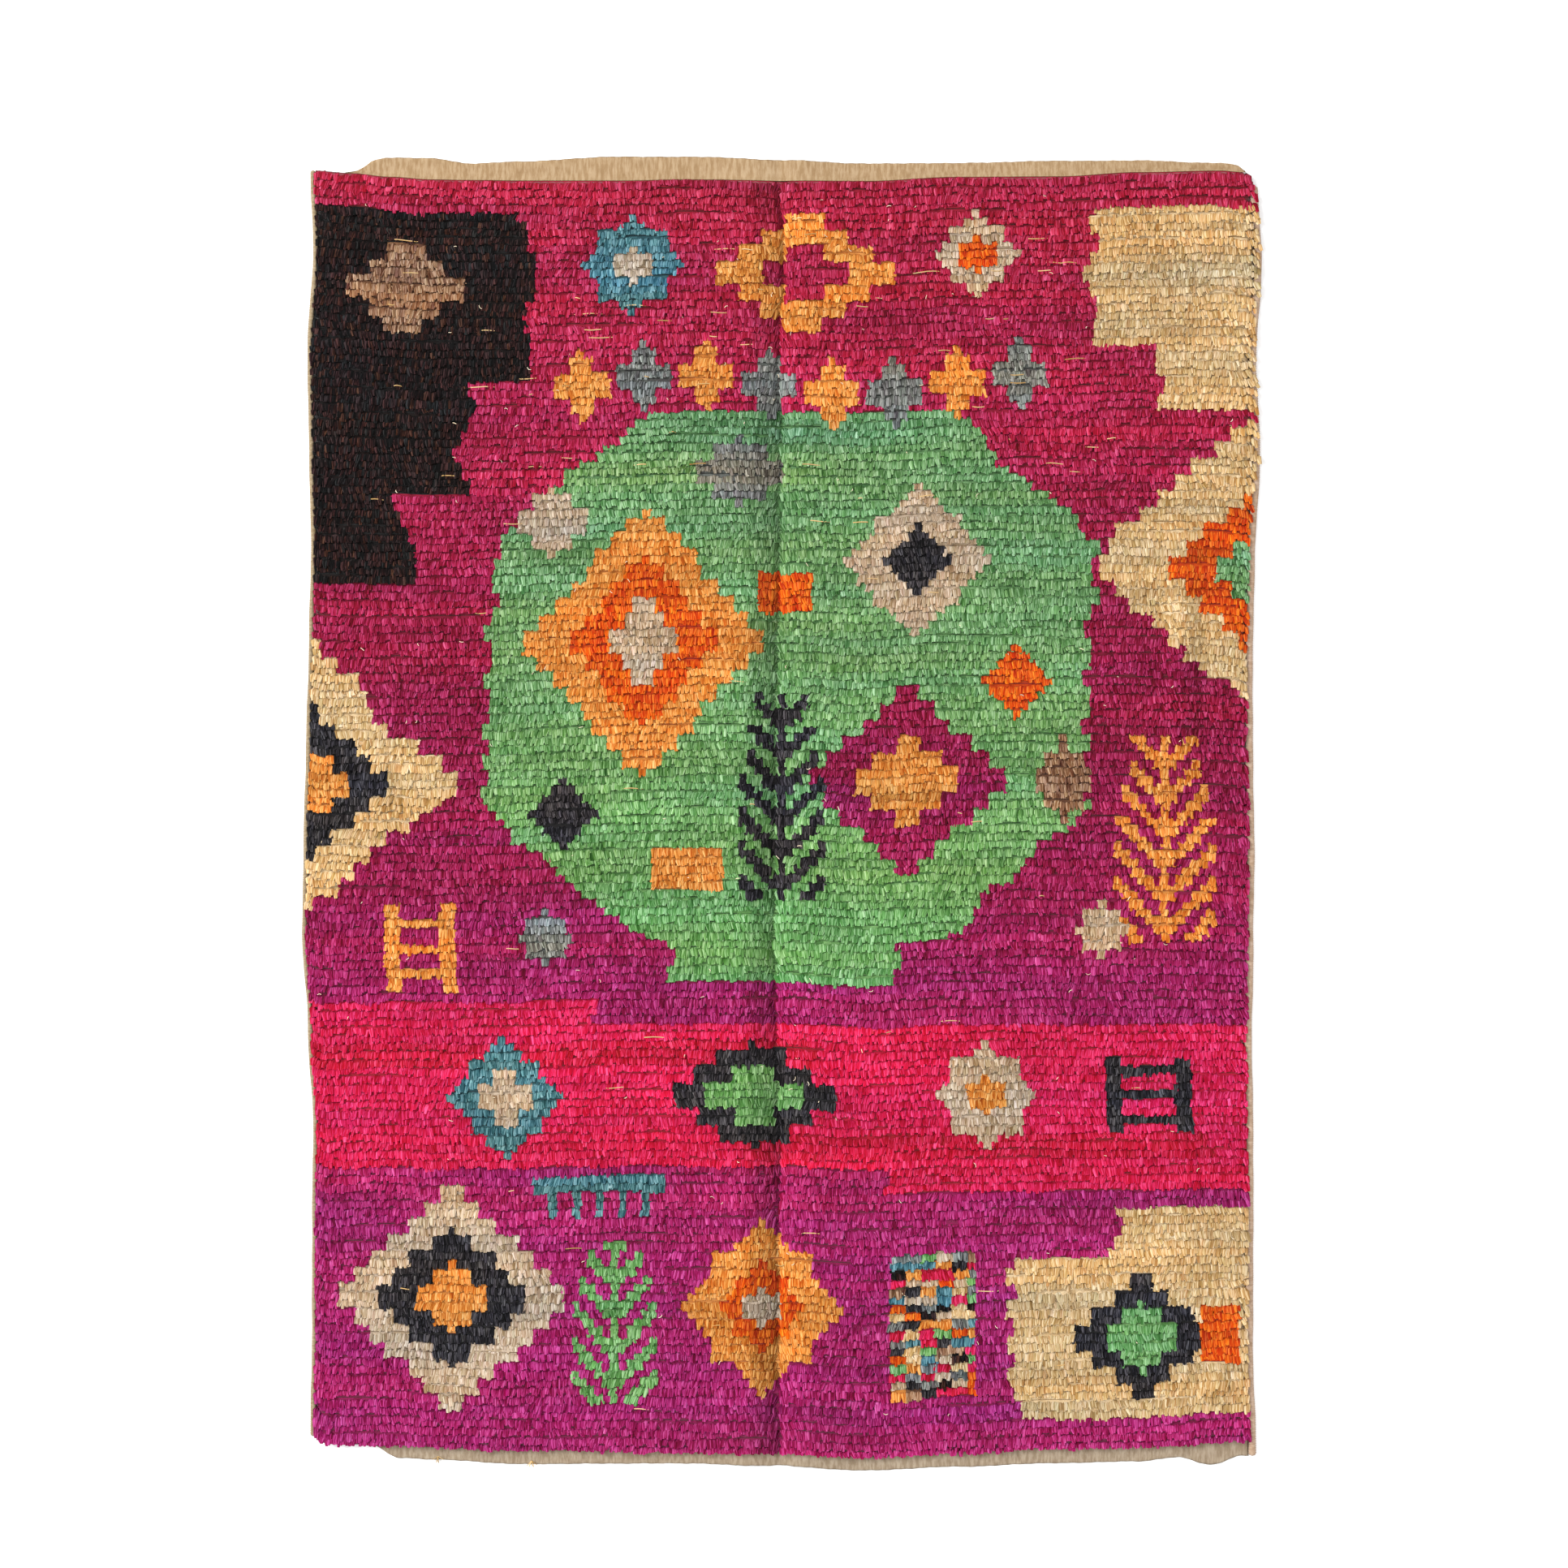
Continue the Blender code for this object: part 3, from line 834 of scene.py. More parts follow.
@dataclass
class Pile:
    """The pile: three leaning yarn ends for each knot, in pieces of some rows each."""

    lie: Lie
    chart: Chart
    finish: WoolFinish
    ends_per_knot: int = 3
    pieces: int = 5
    seed: int = 5
    root_height: float = 1.0 * MM
    root_up: float = 0.84
    slip_up: float = 0.07
    end_spread: float = 0.33
    jitter_across: float = 0.05
    jitter_up: float = 0.095
    lean_deg: float = 7
    turn_deg: float = 4.5
    roll_deg: float = 3.5
    bunching_long: float = 0.10
    swell_high: float = 0.05
    splay_reach: float = 20 * MM
    left_splay_deg: float = 3
    right_splay_deg: float = 12
    tuft_splay_deg: float = 22
    tufts_from: float = 0.775
    tufts_to: float = 0.996
    tufts_out: float = 6.5 * MM
    tufts_uneven: float = 0.45
    tucked_row: float = 0.78
    part_reach: float = 9 * MM
    part_deg: float = 16
    combed_reach: float = 17 * MM
    combed_longer: float = 0.22
    sunk_reach: float = 6 * MM
    sunk_share: float = 0.35
    # Painted shade and light from the crease and the ripples; a negative amount is painted light.
    flank: float = 50 * MM
    painted_shade_left_flank: float = 0.45
    painted_shade_right_flank: float = -0.13
    painted_shade_in_crease: float = 0.05
    painted_shading_on_slopes: float = 0.55
    slope_reach: float = 12 * MM
    # Painted shade along each end: deeper at the root, a little at the belly; the lighter tip is partly sun
    # fading and partly a painted highlight.
    root_shade: float = 1.0
    root_shade_powers: tuple[float, float] = (1.8, 0.25)
    belly_shade: float = 0.97
    tip_shade: float = 1.05
    dye_waver: float = 0.09
    hue_waver: float = 0.02
    row_fading: float = 0.045
    patch_fading: float = 0.055
    lot_change: float = 0.045
    hue_change: tuple[float, float, float] = (0.05, 0.0, -0.07)

    def build(self) -> list[Object]:
        """Builds and dresses the pieces.

        Returns:
            The pieces of the pile, from the bottom of the rug up.
        """
        self.rng = rng = np.random.default_rng(self.seed)
        self.form = YarnEnd().model()
        shape = (self.lie.rows, self.lie.knots)
        self.bunching, self.swell, self.slip = (drift(rng, *shape, along) for along in (9, 5, 13))
        self.lean = drift(rng, *shape, along=6, between=2)
        fading = self.row_fading * drift(rng, *shape, along=41)
        fading = fading + self.patch_fading * drift(rng, *shape, along=15, between=7)
        fading += self.lot_change * drift(rng, *shape, along=91, between=2)
        hue = drift(rng, *shape, along=61, between=4)
        light, dark = self.chart.shades()
        material = self.finish.material()
        limits = np.linspace(0, self.lie.rows, self.pieces + 1).astype(int)
        made = []
        for number, (first, end) in enumerate(zip(limits, limits[1:])):
            grid = np.mgrid[first:end, 0 : self.lie.knots, 0 : self.ends_per_knot]
            rows, knots, ends = (part.ravel() for part in grid)
            here = (rows, knots)
            points = self.stand(rows, knots, ends)
            colours = self.dye(light[here], dark[here])
            # The dye lots' fading, times the painted shade and light of the crease and the ripples.
            colours *= (np.exp(fading[here]) * self.painted_shading(points))[:, None, None]
            colours *= np.exp(hue[here][:, None, None] * self.hue_change)
            piece = stamped(f"pile_rows_{number + 1}", self.form, points, colours, self.seed + number)
            piece.data.materials.append(material)
            made.append(piece)
        return made

    def stand(self, rows: np.ndarray, knots: np.ndarray, ends: np.ndarray) -> np.ndarray:
        """Stands yarn ends on the cloth.

        Args:
            rows: each end's row, from the bottom.
            knots: each end's knot in its row, from the left.
            ends: which end of its knot it is.

        Returns:
            The points, as ends by points by 3, before the rug is centred.
        """
        rng, count, here = self.rng, len(rows), (rows, knots)
        from_middle = (ends - (self.ends_per_knot - 1) / 2) * self.end_spread
        across = (knots + 0.5 + from_middle + rng.normal(0, self.jitter_across, count)) / self.lie.knots
        least = 0.5 / self.lie.knots / self.ends_per_knot
        across = np.clip(across, least, 1 - least)
        jitter = rng.normal(0, self.jitter_up, count)
        up = (rows + self.root_up + jitter + self.slip_up * self.slip[here]) / self.lie.rows
        x, y = self.lie.place(across, np.minimum(up, 1))
        from_left = x - self.lie.left(up)
        from_right = self.lie.right(up) - x
        from_crease = self.lie.from_crease(x, up)
        tufted = (up > self.tufts_from) & (up < self.tufts_to)
        at_right = np.exp(-from_right / self.splay_reach)
        overhang = self.tufts_out * (1 + self.tufts_uneven * np.sin(4.1 * rows)) * at_right
        x = x + np.where(tufted, overhang, 0)
        base = np.stack([x, y, self.root_height + self.lie.lift(across, x, y)], axis=1)
        turn = self.lean_deg * self.lean[here] + rng.normal(0, self.turn_deg, count)
        turn = turn * (1 - np.exp(-from_left / (self.splay_reach / 4)))
        turn -= self.left_splay_deg * np.exp(-from_left / self.splay_reach)
        turn += np.where(tufted, self.tuft_splay_deg, self.right_splay_deg) * at_right
        turn += self.part_deg * np.sign(from_crease) * near(from_crease, self.part_reach)
        turn = np.radians(turn)
        roll = np.radians(rng.normal(0, self.roll_deg, count))
        wide = np.clip(rng.normal(1.28, 0.18, count), 0.8, 1.75)
        long = np.clip(1 + self.bunching_long * self.bunching[here] + rng.normal(0, 0.11, count), 0.66, 1.34)
        long = np.where(rows == 0, np.minimum(long, 1) * self.tucked_row, long)
        long = long * (1 + self.combed_longer * near(from_crease, self.combed_reach))
        high = np.clip(1 + self.swell_high * self.swell[here] + rng.normal(0, 0.025, count), 0.75, 1.15)
        high = high * (1 - self.sunk_share * near(from_crease, self.sunk_reach))
        shape = self.form.points[None] * np.stack([wide, long, high], axis=1)[:, None]
        rolled_x = shape[..., 0] * np.cos(roll)[:, None] + shape[..., 2] * np.sin(roll)[:, None]
        rolled_z = shape[..., 2] * np.cos(roll)[:, None] - shape[..., 0] * np.sin(roll)[:, None]
        cos, sin = np.cos(turn)[:, None], np.sin(turn)[:, None]
        turned_x = rolled_x * cos - shape[..., 1] * sin
        turned_y = rolled_x * sin + shape[..., 1] * cos
        return base[:, None] + np.stack([turned_x, turned_y, rolled_z], axis=2)

    def painted_shading(self, points: np.ndarray) -> np.ndarray:
        """Painted light and shade on each end: painted shade on the crease's left flank and in the crease,
        painted light on its right flank, and painted light and shade on the ripples' slopes, as for a light
        from the left.

        Args:
            points: the ends' points, as ends by points by 3.

        Returns:
            A factor on each end's colour.
        """
        # Painted shade on the crease's left flank, painted light on its right one, weaker towards the top, and
        # painted shade and light on the ripples by their slope.
        x, y = points[:, 0, 0], points[:, 0, 1]
        up = self.lie.up_at(y)
        aside = self.lie.from_crease(x, up)
        within = 1 / (1 + np.exp((abs(aside) - self.flank) / (self.flank / 6)))
        painted_shade = np.where(aside < 0, self.painted_shade_left_flank, self.painted_shade_right_flank) * within
        painted_shade = painted_shade + self.painted_shade_in_crease * np.exp(-abs(aside) / (self.flank / 8))
        falling = self.lie.ripples(x - self.slope_reach, y) - self.lie.ripples(x + self.slope_reach, y)
        painted_shade = painted_shade * mix(1.0, 0.7, up) + self.painted_shading_on_slopes * falling / (2 * self.slope_reach)
        return 1 - painted_shade

    def dye(self, light: np.ndarray, dark: np.ndarray) -> np.ndarray:
        """Colours yarn ends: each between its lot's light and dark, with painted shade at the root and a
        lighter tip, partly sun fading and partly a painted highlight.

        Args:
            light: the light colour of each end's lot.
            dark: the dark colour of each end's lot.

        Returns:
            Linear colours, as ends by points by 3.
        """
        rng, count = self.rng, len(light)
        waver = np.clip(rng.normal(0.5, 0.28, count), -0.3, 1.35)
        colour = np.maximum(mix(dark, light, waver[:, None]), 0.0005)
        colour = colour ** np.exp(rng.normal(0, self.dye_waver, (count, 1)))
        colour = colour * np.exp(rng.normal(0, self.hue_waver, (count, 3)))
        # Painted shade towards the root, and the lighter tip, partly a painted highlight.
        places = (0, BELLY_SHARE, 1)
        shade = np.interp(self.form.along, places, (self.root_shade, self.belly_shade, self.tip_shade))
        out = np.interp(self.form.along, places, (0, 0.95, 1))[None, :, None]
        colour = mix(painted_inner_shading(colour, *self.root_shade_powers)[:, None], colour[:, None], out)
        return np.clip(colour * shade[None, :, None], 0.002, 1)


@dataclass
class LooseYarn:
    """Short lengths of thin undyed yarn: wefts that show between rows, and knots tied off on an end band."""

    lie: Lie
    finish: WoolFinish
    radius: float = 1.0 * MM
    rings: int = 8
    glimpses: int = 84
    most_above_row: int = 112
    most_share: float = 0.6
    shortest_knots: float = 1.5
    longest_knots: float = 6.5
    low: float = 6.5 * MM
    arch: float = 7.8 * MM
    knots_at: tuple[float, ...] = (-0.656, -0.478)
    knot_ends: int = 4
    knot_fan: float = 0.9
    knot_length: float = 13 * MM
    knot_low: float = 3.6 * MM
    knot_arch: float = 1.6 * MM
    lint: int = 170
    lint_longest: float = 9 * MM
    lint_thin: float = 0.6
    lint_high: float = 14.6 * MM
    seed: int = 8

    def model(self) -> Template:
        """Models a straight length: a five-sided cylinder, 1 m long, cut across into rings.

        Returns:
            The form.
        """
        deselect_all()
        bpy.ops.mesh.primitive_cylinder_add(vertices=5, radius=self.radius, depth=1, location=(0, 0, 0.5))
        piece = bpy.context.object
        bpy.ops.object.transform_apply(location=True, rotation=True, scale=True)
        bpy.ops.object.mode_set(mode="EDIT")
        for ring in range(1, self.rings):
            bpy.ops.mesh.select_all(action="SELECT")
            bpy.ops.mesh.bisect(plane_co=(0, 0, ring / self.rings), plane_no=(0, 0, 1))
        bpy.ops.object.mode_set(mode="OBJECT")
        heights = points_of(piece)[:, 2].copy()
        piece.data.attributes.new("along", "FLOAT", "POINT").data.foreach_set("value", heights)
        return Template.read(piece)

    def build_glimpses(self) -> Object:
        """Lays wefts in the grooves between rows, more of them towards the top; both ends dive in.

        Returns:
            The wefts, as one piece.
        """
        rng = np.random.default_rng(self.seed)
        form = self.model()
        rows = np.where(
            rng.random(self.glimpses) < self.most_share,
            rng.integers(self.most_above_row, self.lie.rows - 4, self.glimpses),
            rng.integers(3, self.most_above_row, self.glimpses),
        )
        long = rng.uniform(self.shortest_knots, self.longest_knots, self.glimpses) / self.lie.knots
        start = rng.uniform(0.02, 0.93, self.glimpses)
        across = start[:, None] + long[:, None] * form.along
        waver = 0.06 * np.sin(9 * form.along + rng.uniform(0, 6, (self.glimpses, 1)))
        x, y = self.lie.place(across, (rows[:, None] + 0.02 + waver) / self.lie.rows)
        z = self.lie.lift(across, x, y) + self.low + self.arch * np.sin(np.pi * form.along)
        points = np.stack([x, y + form.points[:, 0], z + form.points[:, 1]], axis=2)
        return self.dress("weft_glimpses", form, points, rng)

    def build_lint(self) -> Object:
        """Scatters short curled pale fibres over the tips of the pile.

        Returns:
            The fibres, as one piece.
        """
        rng = np.random.default_rng(self.seed + 2)
        form = self.model()
        middle_across, middle_up, turn, bend = rng.uniform(
            (0.01, 0.01, -1.4, -1.1), (0.99, 0.99, 1.4, 1.1), (self.lint, 4)
        ).T[..., None]
        long = rng.uniform(0.3, 1, (self.lint, 1)) * self.lint_longest
        along = long * (form.along - 0.5)
        curl = bend * long * (form.along - 0.5) ** 2
        x, y = self.lie.place(middle_across + 0 * along, middle_up + 0 * along)
        side, forth, over = form.points[:, 0] * self.lint_thin, along, form.points[:, 1] * self.lint_thin
        x = x + forth * np.cos(turn) - (curl + side) * np.sin(turn)
        y = y + forth * np.sin(turn) + (curl + side) * np.cos(turn)
        z = self.lie.lift(middle_across + 0 * along, x, y) + self.lint_high + over + 0 * along
        return self.dress("pale_lint", form, np.stack([x, y, z], axis=2), rng, "#d8c8ac")

    def build_knots(self) -> Object:
        """Ties off threads on the bottom band: a few ends that start together and fan out.

        Returns:
            The threads, as one piece.
        """
        rng = np.random.default_rng(self.seed + 1)
        form = self.model()
        middle = np.repeat(self.knots_at, self.knot_ends)
        fan = np.tile(np.linspace(-self.knot_fan, self.knot_fan, self.knot_ends), len(self.knots_at))
        fan = fan + rng.normal(0, 0.15, len(middle))
        edge = self.lie.bottom_line(middle) - eased(BOTTOM_STOPS, middle, "band_mm") + 7 * MM
        along = self.knot_length * form.along
        x = middle[:, None] + along * np.sin(fan)[:, None] + form.points[:, 0]
        y = edge[:, None] - along * np.cos(fan)[:, None]
        z = self.knot_low + self.knot_arch * np.sin(np.pi * form.along) + form.points[:, 1] + 0 * x
        return self.dress("tied_off_threads", form, np.stack([x, y, z], axis=2), rng)

    def dress(
        self,
        name: str,
        form: Template,
        points: np.ndarray,
        rng: np.random.Generator,
        undyed: str = "#b3925f",
    ) -> Object:
        """Joins the lengths into a piece of undyed wool.

        Args:
            name: the piece's name.
            form: the straight length.
            points: the lengths' points.
            rng: the seeded generator.
            undyed: the wool's colour.

        Returns:
            The dressed piece.
        """
        colour = linear(undyed) * np.exp(rng.normal(0, 0.15, (len(points), 1, 1)))
        piece = stamped(name, form, points, np.broadcast_to(colour, points.shape), self.seed)
        piece.data.materials.append(self.finish.material())
        return piece


@dataclass
class GroundCloth:
    """The woven cloth that the pile is knotted into: knot backs in rows between wefts show underneath."""

    lie: Lie
    chart: Chart
    underside: float = 0.3 * MM
    rim_high: float = 1.3 * MM
    groove_up: float = 0.78
    groove_high: float = 9.0 * MM
    ridge_up: float = 0.93
    ridge_high: float = 11.3 * MM
    sunk_reach: float = 12 * MM
    sunk_share: float = 0.5
    # Painted shade on the cloth's top between the ends, deeper in the grooves; pale wool gets painted light.
    ridge_shade_powers: tuple[float, float] = (1.15, 0.4)
    groove_shade_powers: tuple[float, float] = (1.65, 0.3)
    weft_colours: tuple[str, str] = ("#8d7350", "#c2a67c")

    def surface(self, along: np.ndarray, around: np.ndarray) -> np.ndarray:
        """Places the cloth: over its top, with a groove and a ridge for each row, then back below.

        Args:
            along: shares of the pile's width.
            around: shares of the way over the top and back.

        Returns:
            A row of x, y and z for each pair of shares.
        """
        rows = self.lie.rows
        steps = np.round(around * 3 * rows)
        over = steps < 2 * rows
        groove = over & (steps % 2 == 1)
        up = np.where(groove, steps // 2 + self.groove_up, steps // 2 - 1 + self.ridge_up)
        up = np.where(np.minimum(along, 1 - along) < ON_RIM, (steps + 1) // 2, up)
        up = np.clip(np.where(over, up, 3 * rows - steps), 0, rows) / rows
        x, y = self.lie.place(along, up)
        from_crease = self.lie.from_crease(x, up)
        sunk = 1 - self.sunk_share * near(from_crease, self.sunk_reach)
        high = np.where(over, np.where(groove, self.groove_high, self.ridge_high) * sunk, 0)
        rim = np.minimum.reduce([along, 1 - along, up, 1 - up]) < ON_RIM
        high = np.where(rim, self.rim_high, high)
        return np.stack([x, y, self.underside + high + self.lie.lift(along, x, y)], axis=1)

    def build(self) -> Object:
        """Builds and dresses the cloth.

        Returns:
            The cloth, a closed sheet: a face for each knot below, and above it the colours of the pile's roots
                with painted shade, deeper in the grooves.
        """
        piece = closed_sheet("ground_cloth", self.lie.knots, 3 * self.lie.rows, self.surface)
        mesh = piece.data
        places = values_of(mesh.uv_layers[BAKE_MAP].data, "uv", 2)
        starts = values_of(mesh.polygons, "loop_start", kind=np.int32)
        totals = np.diff(np.append(starts, len(mesh.loops)))
        middles = np.add.reduceat(places, starts) / totals[:, None]
        knots = np.clip((middles[:, 0] * self.lie.knots).astype(int), 0, self.lie.knots - 1)
        steps = (middles[:, 1] * 3 * self.lie.rows).astype(int)
        over = steps < 2 * self.lie.rows
        rows = np.clip(np.where(over, (steps + 1) // 2, 3 * self.lie.rows - 1 - steps), 0, self.lie.rows - 1)
        light, dark = self.chart.shades()
        waver = np.random.default_rng(3).uniform(0, 1, (len(rows), 1))
        colours = mix(dark[rows, knots], light[rows, knots], waver)
        # The top takes the knots' colours with painted shade, deeper on the faces in the grooves.
        shaded_ridges, shaded_grooves = (painted_inner_shading(colours, *powers) for powers in (self.ridge_shade_powers, self.groove_shade_powers))
        inside = np.where((steps % 2 == 0)[:, None], shaded_ridges, shaded_grooves)
        colours = np.where(over[:, None], inside, colours)
        opaque = np.concatenate([colours, 1.0 - over[:, None]], axis=1)
        dye = mesh.color_attributes.new(DYE, "FLOAT_COLOR", "CORNER")
        dye.data.foreach_set("color", np.repeat(opaque, totals, axis=0).ravel())
        keep_strand_map(piece, (self.lie.knots, 3 * self.lie.rows))
        mesh.materials.append(self.material())
        return piece

    def material(self) -> Material:
        """Undyed warps and wefts with the backs of the dyed knots: each back is a short bar in its row.

        The wefts are thinner than a step of the render, so they are drawn three to a row.

        Returns:
            The material.
        """
        sockets = {"Roughness": 0.95, "Sheen Weight": 0.15, "Specular IOR Level": 0.2}
        material, tree, shader = new_material("flat_woven_ground_wool_with_knot_backs", sockets)
        place = add_node(tree, "ShaderNodeUVMap", {"uv_map": STRAND_MAP}).outputs["UV"]
        from_middle = place
        for settings in (
            {"operation": "FRACTION"},
            {"operation": "SUBTRACT", 1: (0.5, 0.5, 0)},
            {"operation": "MULTIPLY", 1: (0.95, 1.45, 0)},
        ):
            from_middle = add_node(tree, "ShaderNodeVectorMath", settings, {0: from_middle}).outputs["Vector"]
        length = {"operation": "LENGTH"}
        distance = add_node(tree, "ShaderNodeVectorMath", length, {0: from_middle}).outputs["Value"]
        span = {"From Min": 0.54, "From Max": 0.40, "To Min": 0.0, "To Max": 1.0}
        back = add_node(tree, "ShaderNodeMapRange", span, {"Value": distance}).outputs["Result"]
        bands = {"wave_type": "BANDS", "bands_direction": "Y"}
        bands |= {"Scale": 0.48, "Distortion": 1.2, "Detail": 2.0}
        wefts = add_node(tree, "ShaderNodeTexWave", bands, {"Vector": place}).outputs["Fac"]
        dark, light = ((*linear(colour), 1) for colour in self.weft_colours)
        blend = {"data_type": "RGBA"}
        tan = add_node(tree, "ShaderNodeMix", blend | {6: dark, 7: light}, {0: wefts}).outputs[2]
        dye = add_node(tree, "ShaderNodeAttribute", {"attribute_name": DYE}).outputs
        underneath = add_node(tree, "ShaderNodeMix", blend, {0: back, 6: tan, 7: dye["Color"]}).outputs[2]
        both = add_node(tree, "ShaderNodeMix", blend, {0: dye["Alpha"], 6: dye["Color"], 7: underneath})
        height = add_node(tree, "ShaderNodeMath", {"operation": "ADD"}, {0: back, 1: wefts}).outputs["Value"]
        bump = add_node(tree, "ShaderNodeBump", {"Strength": 0.8, "Distance": 1.2 * MM}, {"Height": height})
        tree.links.new(both.outputs[2], shader.inputs["Base Color"])
        tree.links.new(bump.outputs["Normal"], shader.inputs["Normal"])
        return material


@dataclass
class EndWeave:
    """A flat-woven end band: wefts packed over the warps, with an uneven outer edge."""

    lie: Lie
    name: str
    stops: tuple[EndStop, ...]
    up_share: float
    span: tuple[float, float]
    finish: WoolFinish
    warp_pitch: float = 4.6 * MM
    weft_rows: int = 13
    thick: float = 2.6 * MM
    relief: float = 0.45 * MM
    frayed: float = 0.6 * MM
    tucked_in: float = 2.5 * MM
    climb: float = 0.0
    climb_reach: float = 7 * MM
    ripple: float = 1.2 * MM
    taper_left: float = 0.032
    taper_right: float = 0.0

    def surface(self, along: np.ndarray, around: np.ndarray) -> np.ndarray:
        """Places the band: over its top from the pile outwards, then back below, its ends pinched.

        Args:
            along: shares of the band's length.
            around: shares of the way over the top and back.

        Returns:
            A row of x, y and z for each pair of shares.
        """
        out = 1 - abs(1 - 2 * around)
        share = mix(self.span[0], self.span[1], along)
        x, y = self.lie.place(share, self.up_share)
        away = 1 if self.up_share else -1
        warps = self.warps()
        frayed = self.frayed * np.sin(along * warps * 0.9) * np.sin(along * warps * 0.37)
        deep = eased(self.stops, x, "band_mm") + frayed + self.tucked_in
        deep = deep * np.clip(0.1 + along / self.taper_left, 0, 1)
        if self.taper_right:
            deep = deep * np.clip(0.2 + (1 - along) / self.taper_right, 0, 1)
        rim = np.minimum.reduce([along, 1 - along, out, 1 - out]) < ON_RIM
        side = np.where(rim, 0, np.where(around < 0.5, 0.5, -0.5))
        over = np.where((np.round(along * warps) + np.round(out * self.weft_rows)) % 2 < 1, 1, -1)
        wave = self.ripple * (1 + np.sin(38 * x + 1.3 * np.sin(17 * x))) / 2 * out**2
        z = self.relief + self.thick * (0.5 + side) + over * self.relief * np.where(rim, 0, 1) + wave
        z = z + self.climb * np.clip(1 - deep * out / self.climb_reach, 0, 1) + self.lie.lift(share, x, y)
        return np.stack([x, y + away * (deep * out - self.tucked_in), z], axis=1)

    def warps(self) -> int:
        """How many warps cross the band."""
        pile_width = 2 * self.lie.half_width - self.lie.left_cord - self.lie.right_cord
        return round((self.span[1] - self.span[0]) * pile_width / self.warp_pitch)

    def build(self) -> Object:
        """Builds and dresses the band.

        Returns:
            The band, with a point where each weft crosses each warp.
        """
        piece = closed_sheet(self.name, self.warps(), 2 * self.weft_rows, self.surface)
        keep_strand_map(piece, (self.warps() / 6, self.weft_rows * 2 / 14))
        piece.data.materials.append(self.finish.material())
        return piece


@dataclass
class Selvedge:
    """A corded edge: warps wound round and round with undyed wool, so that slanting turns show."""

    lie: Lie
    name: str
    side: int
    wide: float
    finish: WoolFinish
    past_band: bool
    high: float = 7.6 * MM
    turn_pitch: float = 4.4 * MM
    section_sides: int = 8
    turn_depth: float = 0.7 * MM
    turn_slant: float = 0.35
    least_high: float = 0.3 * MM
    sewn_on: float = 1.0 * MM

    def surface(self, along: np.ndarray, around: np.ndarray) -> np.ndarray:
        """Places the cord: round its section, its turns raised, its ends rounded off.

        Args:
            along: shares of the cord's length.
            around: shares of the way round its section.

        Returns:
            A row of x, y and z for each pair of shares.
        """
        edge = self.lie.right(along) if self.side > 0 else self.lie.left(along)
        share = (1 + self.side) / 2
        x_end, bottom = self.lie.place(share, 0.0)
        top = self.lie.place(share, 1.0)[1]
        if self.past_band:
            bottom = bottom - float(eased(BOTTOM_STOPS, x_end, "band_mm"))
        length = top - bottom
        turns = length / self.turn_pitch
        angle = 2 * np.pi * around
        turn = abs(np.sin(np.pi * (along * turns + self.turn_slant * np.sin(angle))))
        end = np.sqrt(np.clip(np.minimum(along, 1 - along) * length / (self.high / 2), 0, 1))
        swell = (1 - self.turn_depth / self.high * 2 * (1 - turn)) * end
        uneven = 1 + 0.05 * np.sin(along * 71) + 0.04 * np.sin(along * 173 + 2)
        out = self.wide / 2 * uneven * swell * np.cos(angle)
        up = self.high / 2 * uneven * swell * np.sin(angle)
        middle = edge + self.side * (self.wide / 2 - self.sewn_on)
        y = bottom + length * along
        line = self.lie.top_line(middle + out) - self.lie.top_line(edge)
        y = y + line * np.clip((along - 0.99) / 0.01, 0, 1)
        flat = np.maximum(self.high / 2 * 1.06 + up, self.least_high)
        return np.stack([middle + out, y, flat], axis=1)

    def build(self) -> Object:
        """Builds and dresses the cord.

        Returns:
            The cord, with two rings for each turn of its yarn.
        """
        rings = round(2 * (self.lie.top_up - self.lie.bottom_up) / self.turn_pitch)
        piece = closed_sheet(self.name, rings, self.section_sides, self.surface)
        keep_strand_map(piece, (rings / 8, 2.0))
        piece.data.materials.append(self.finish.material())
        return piece


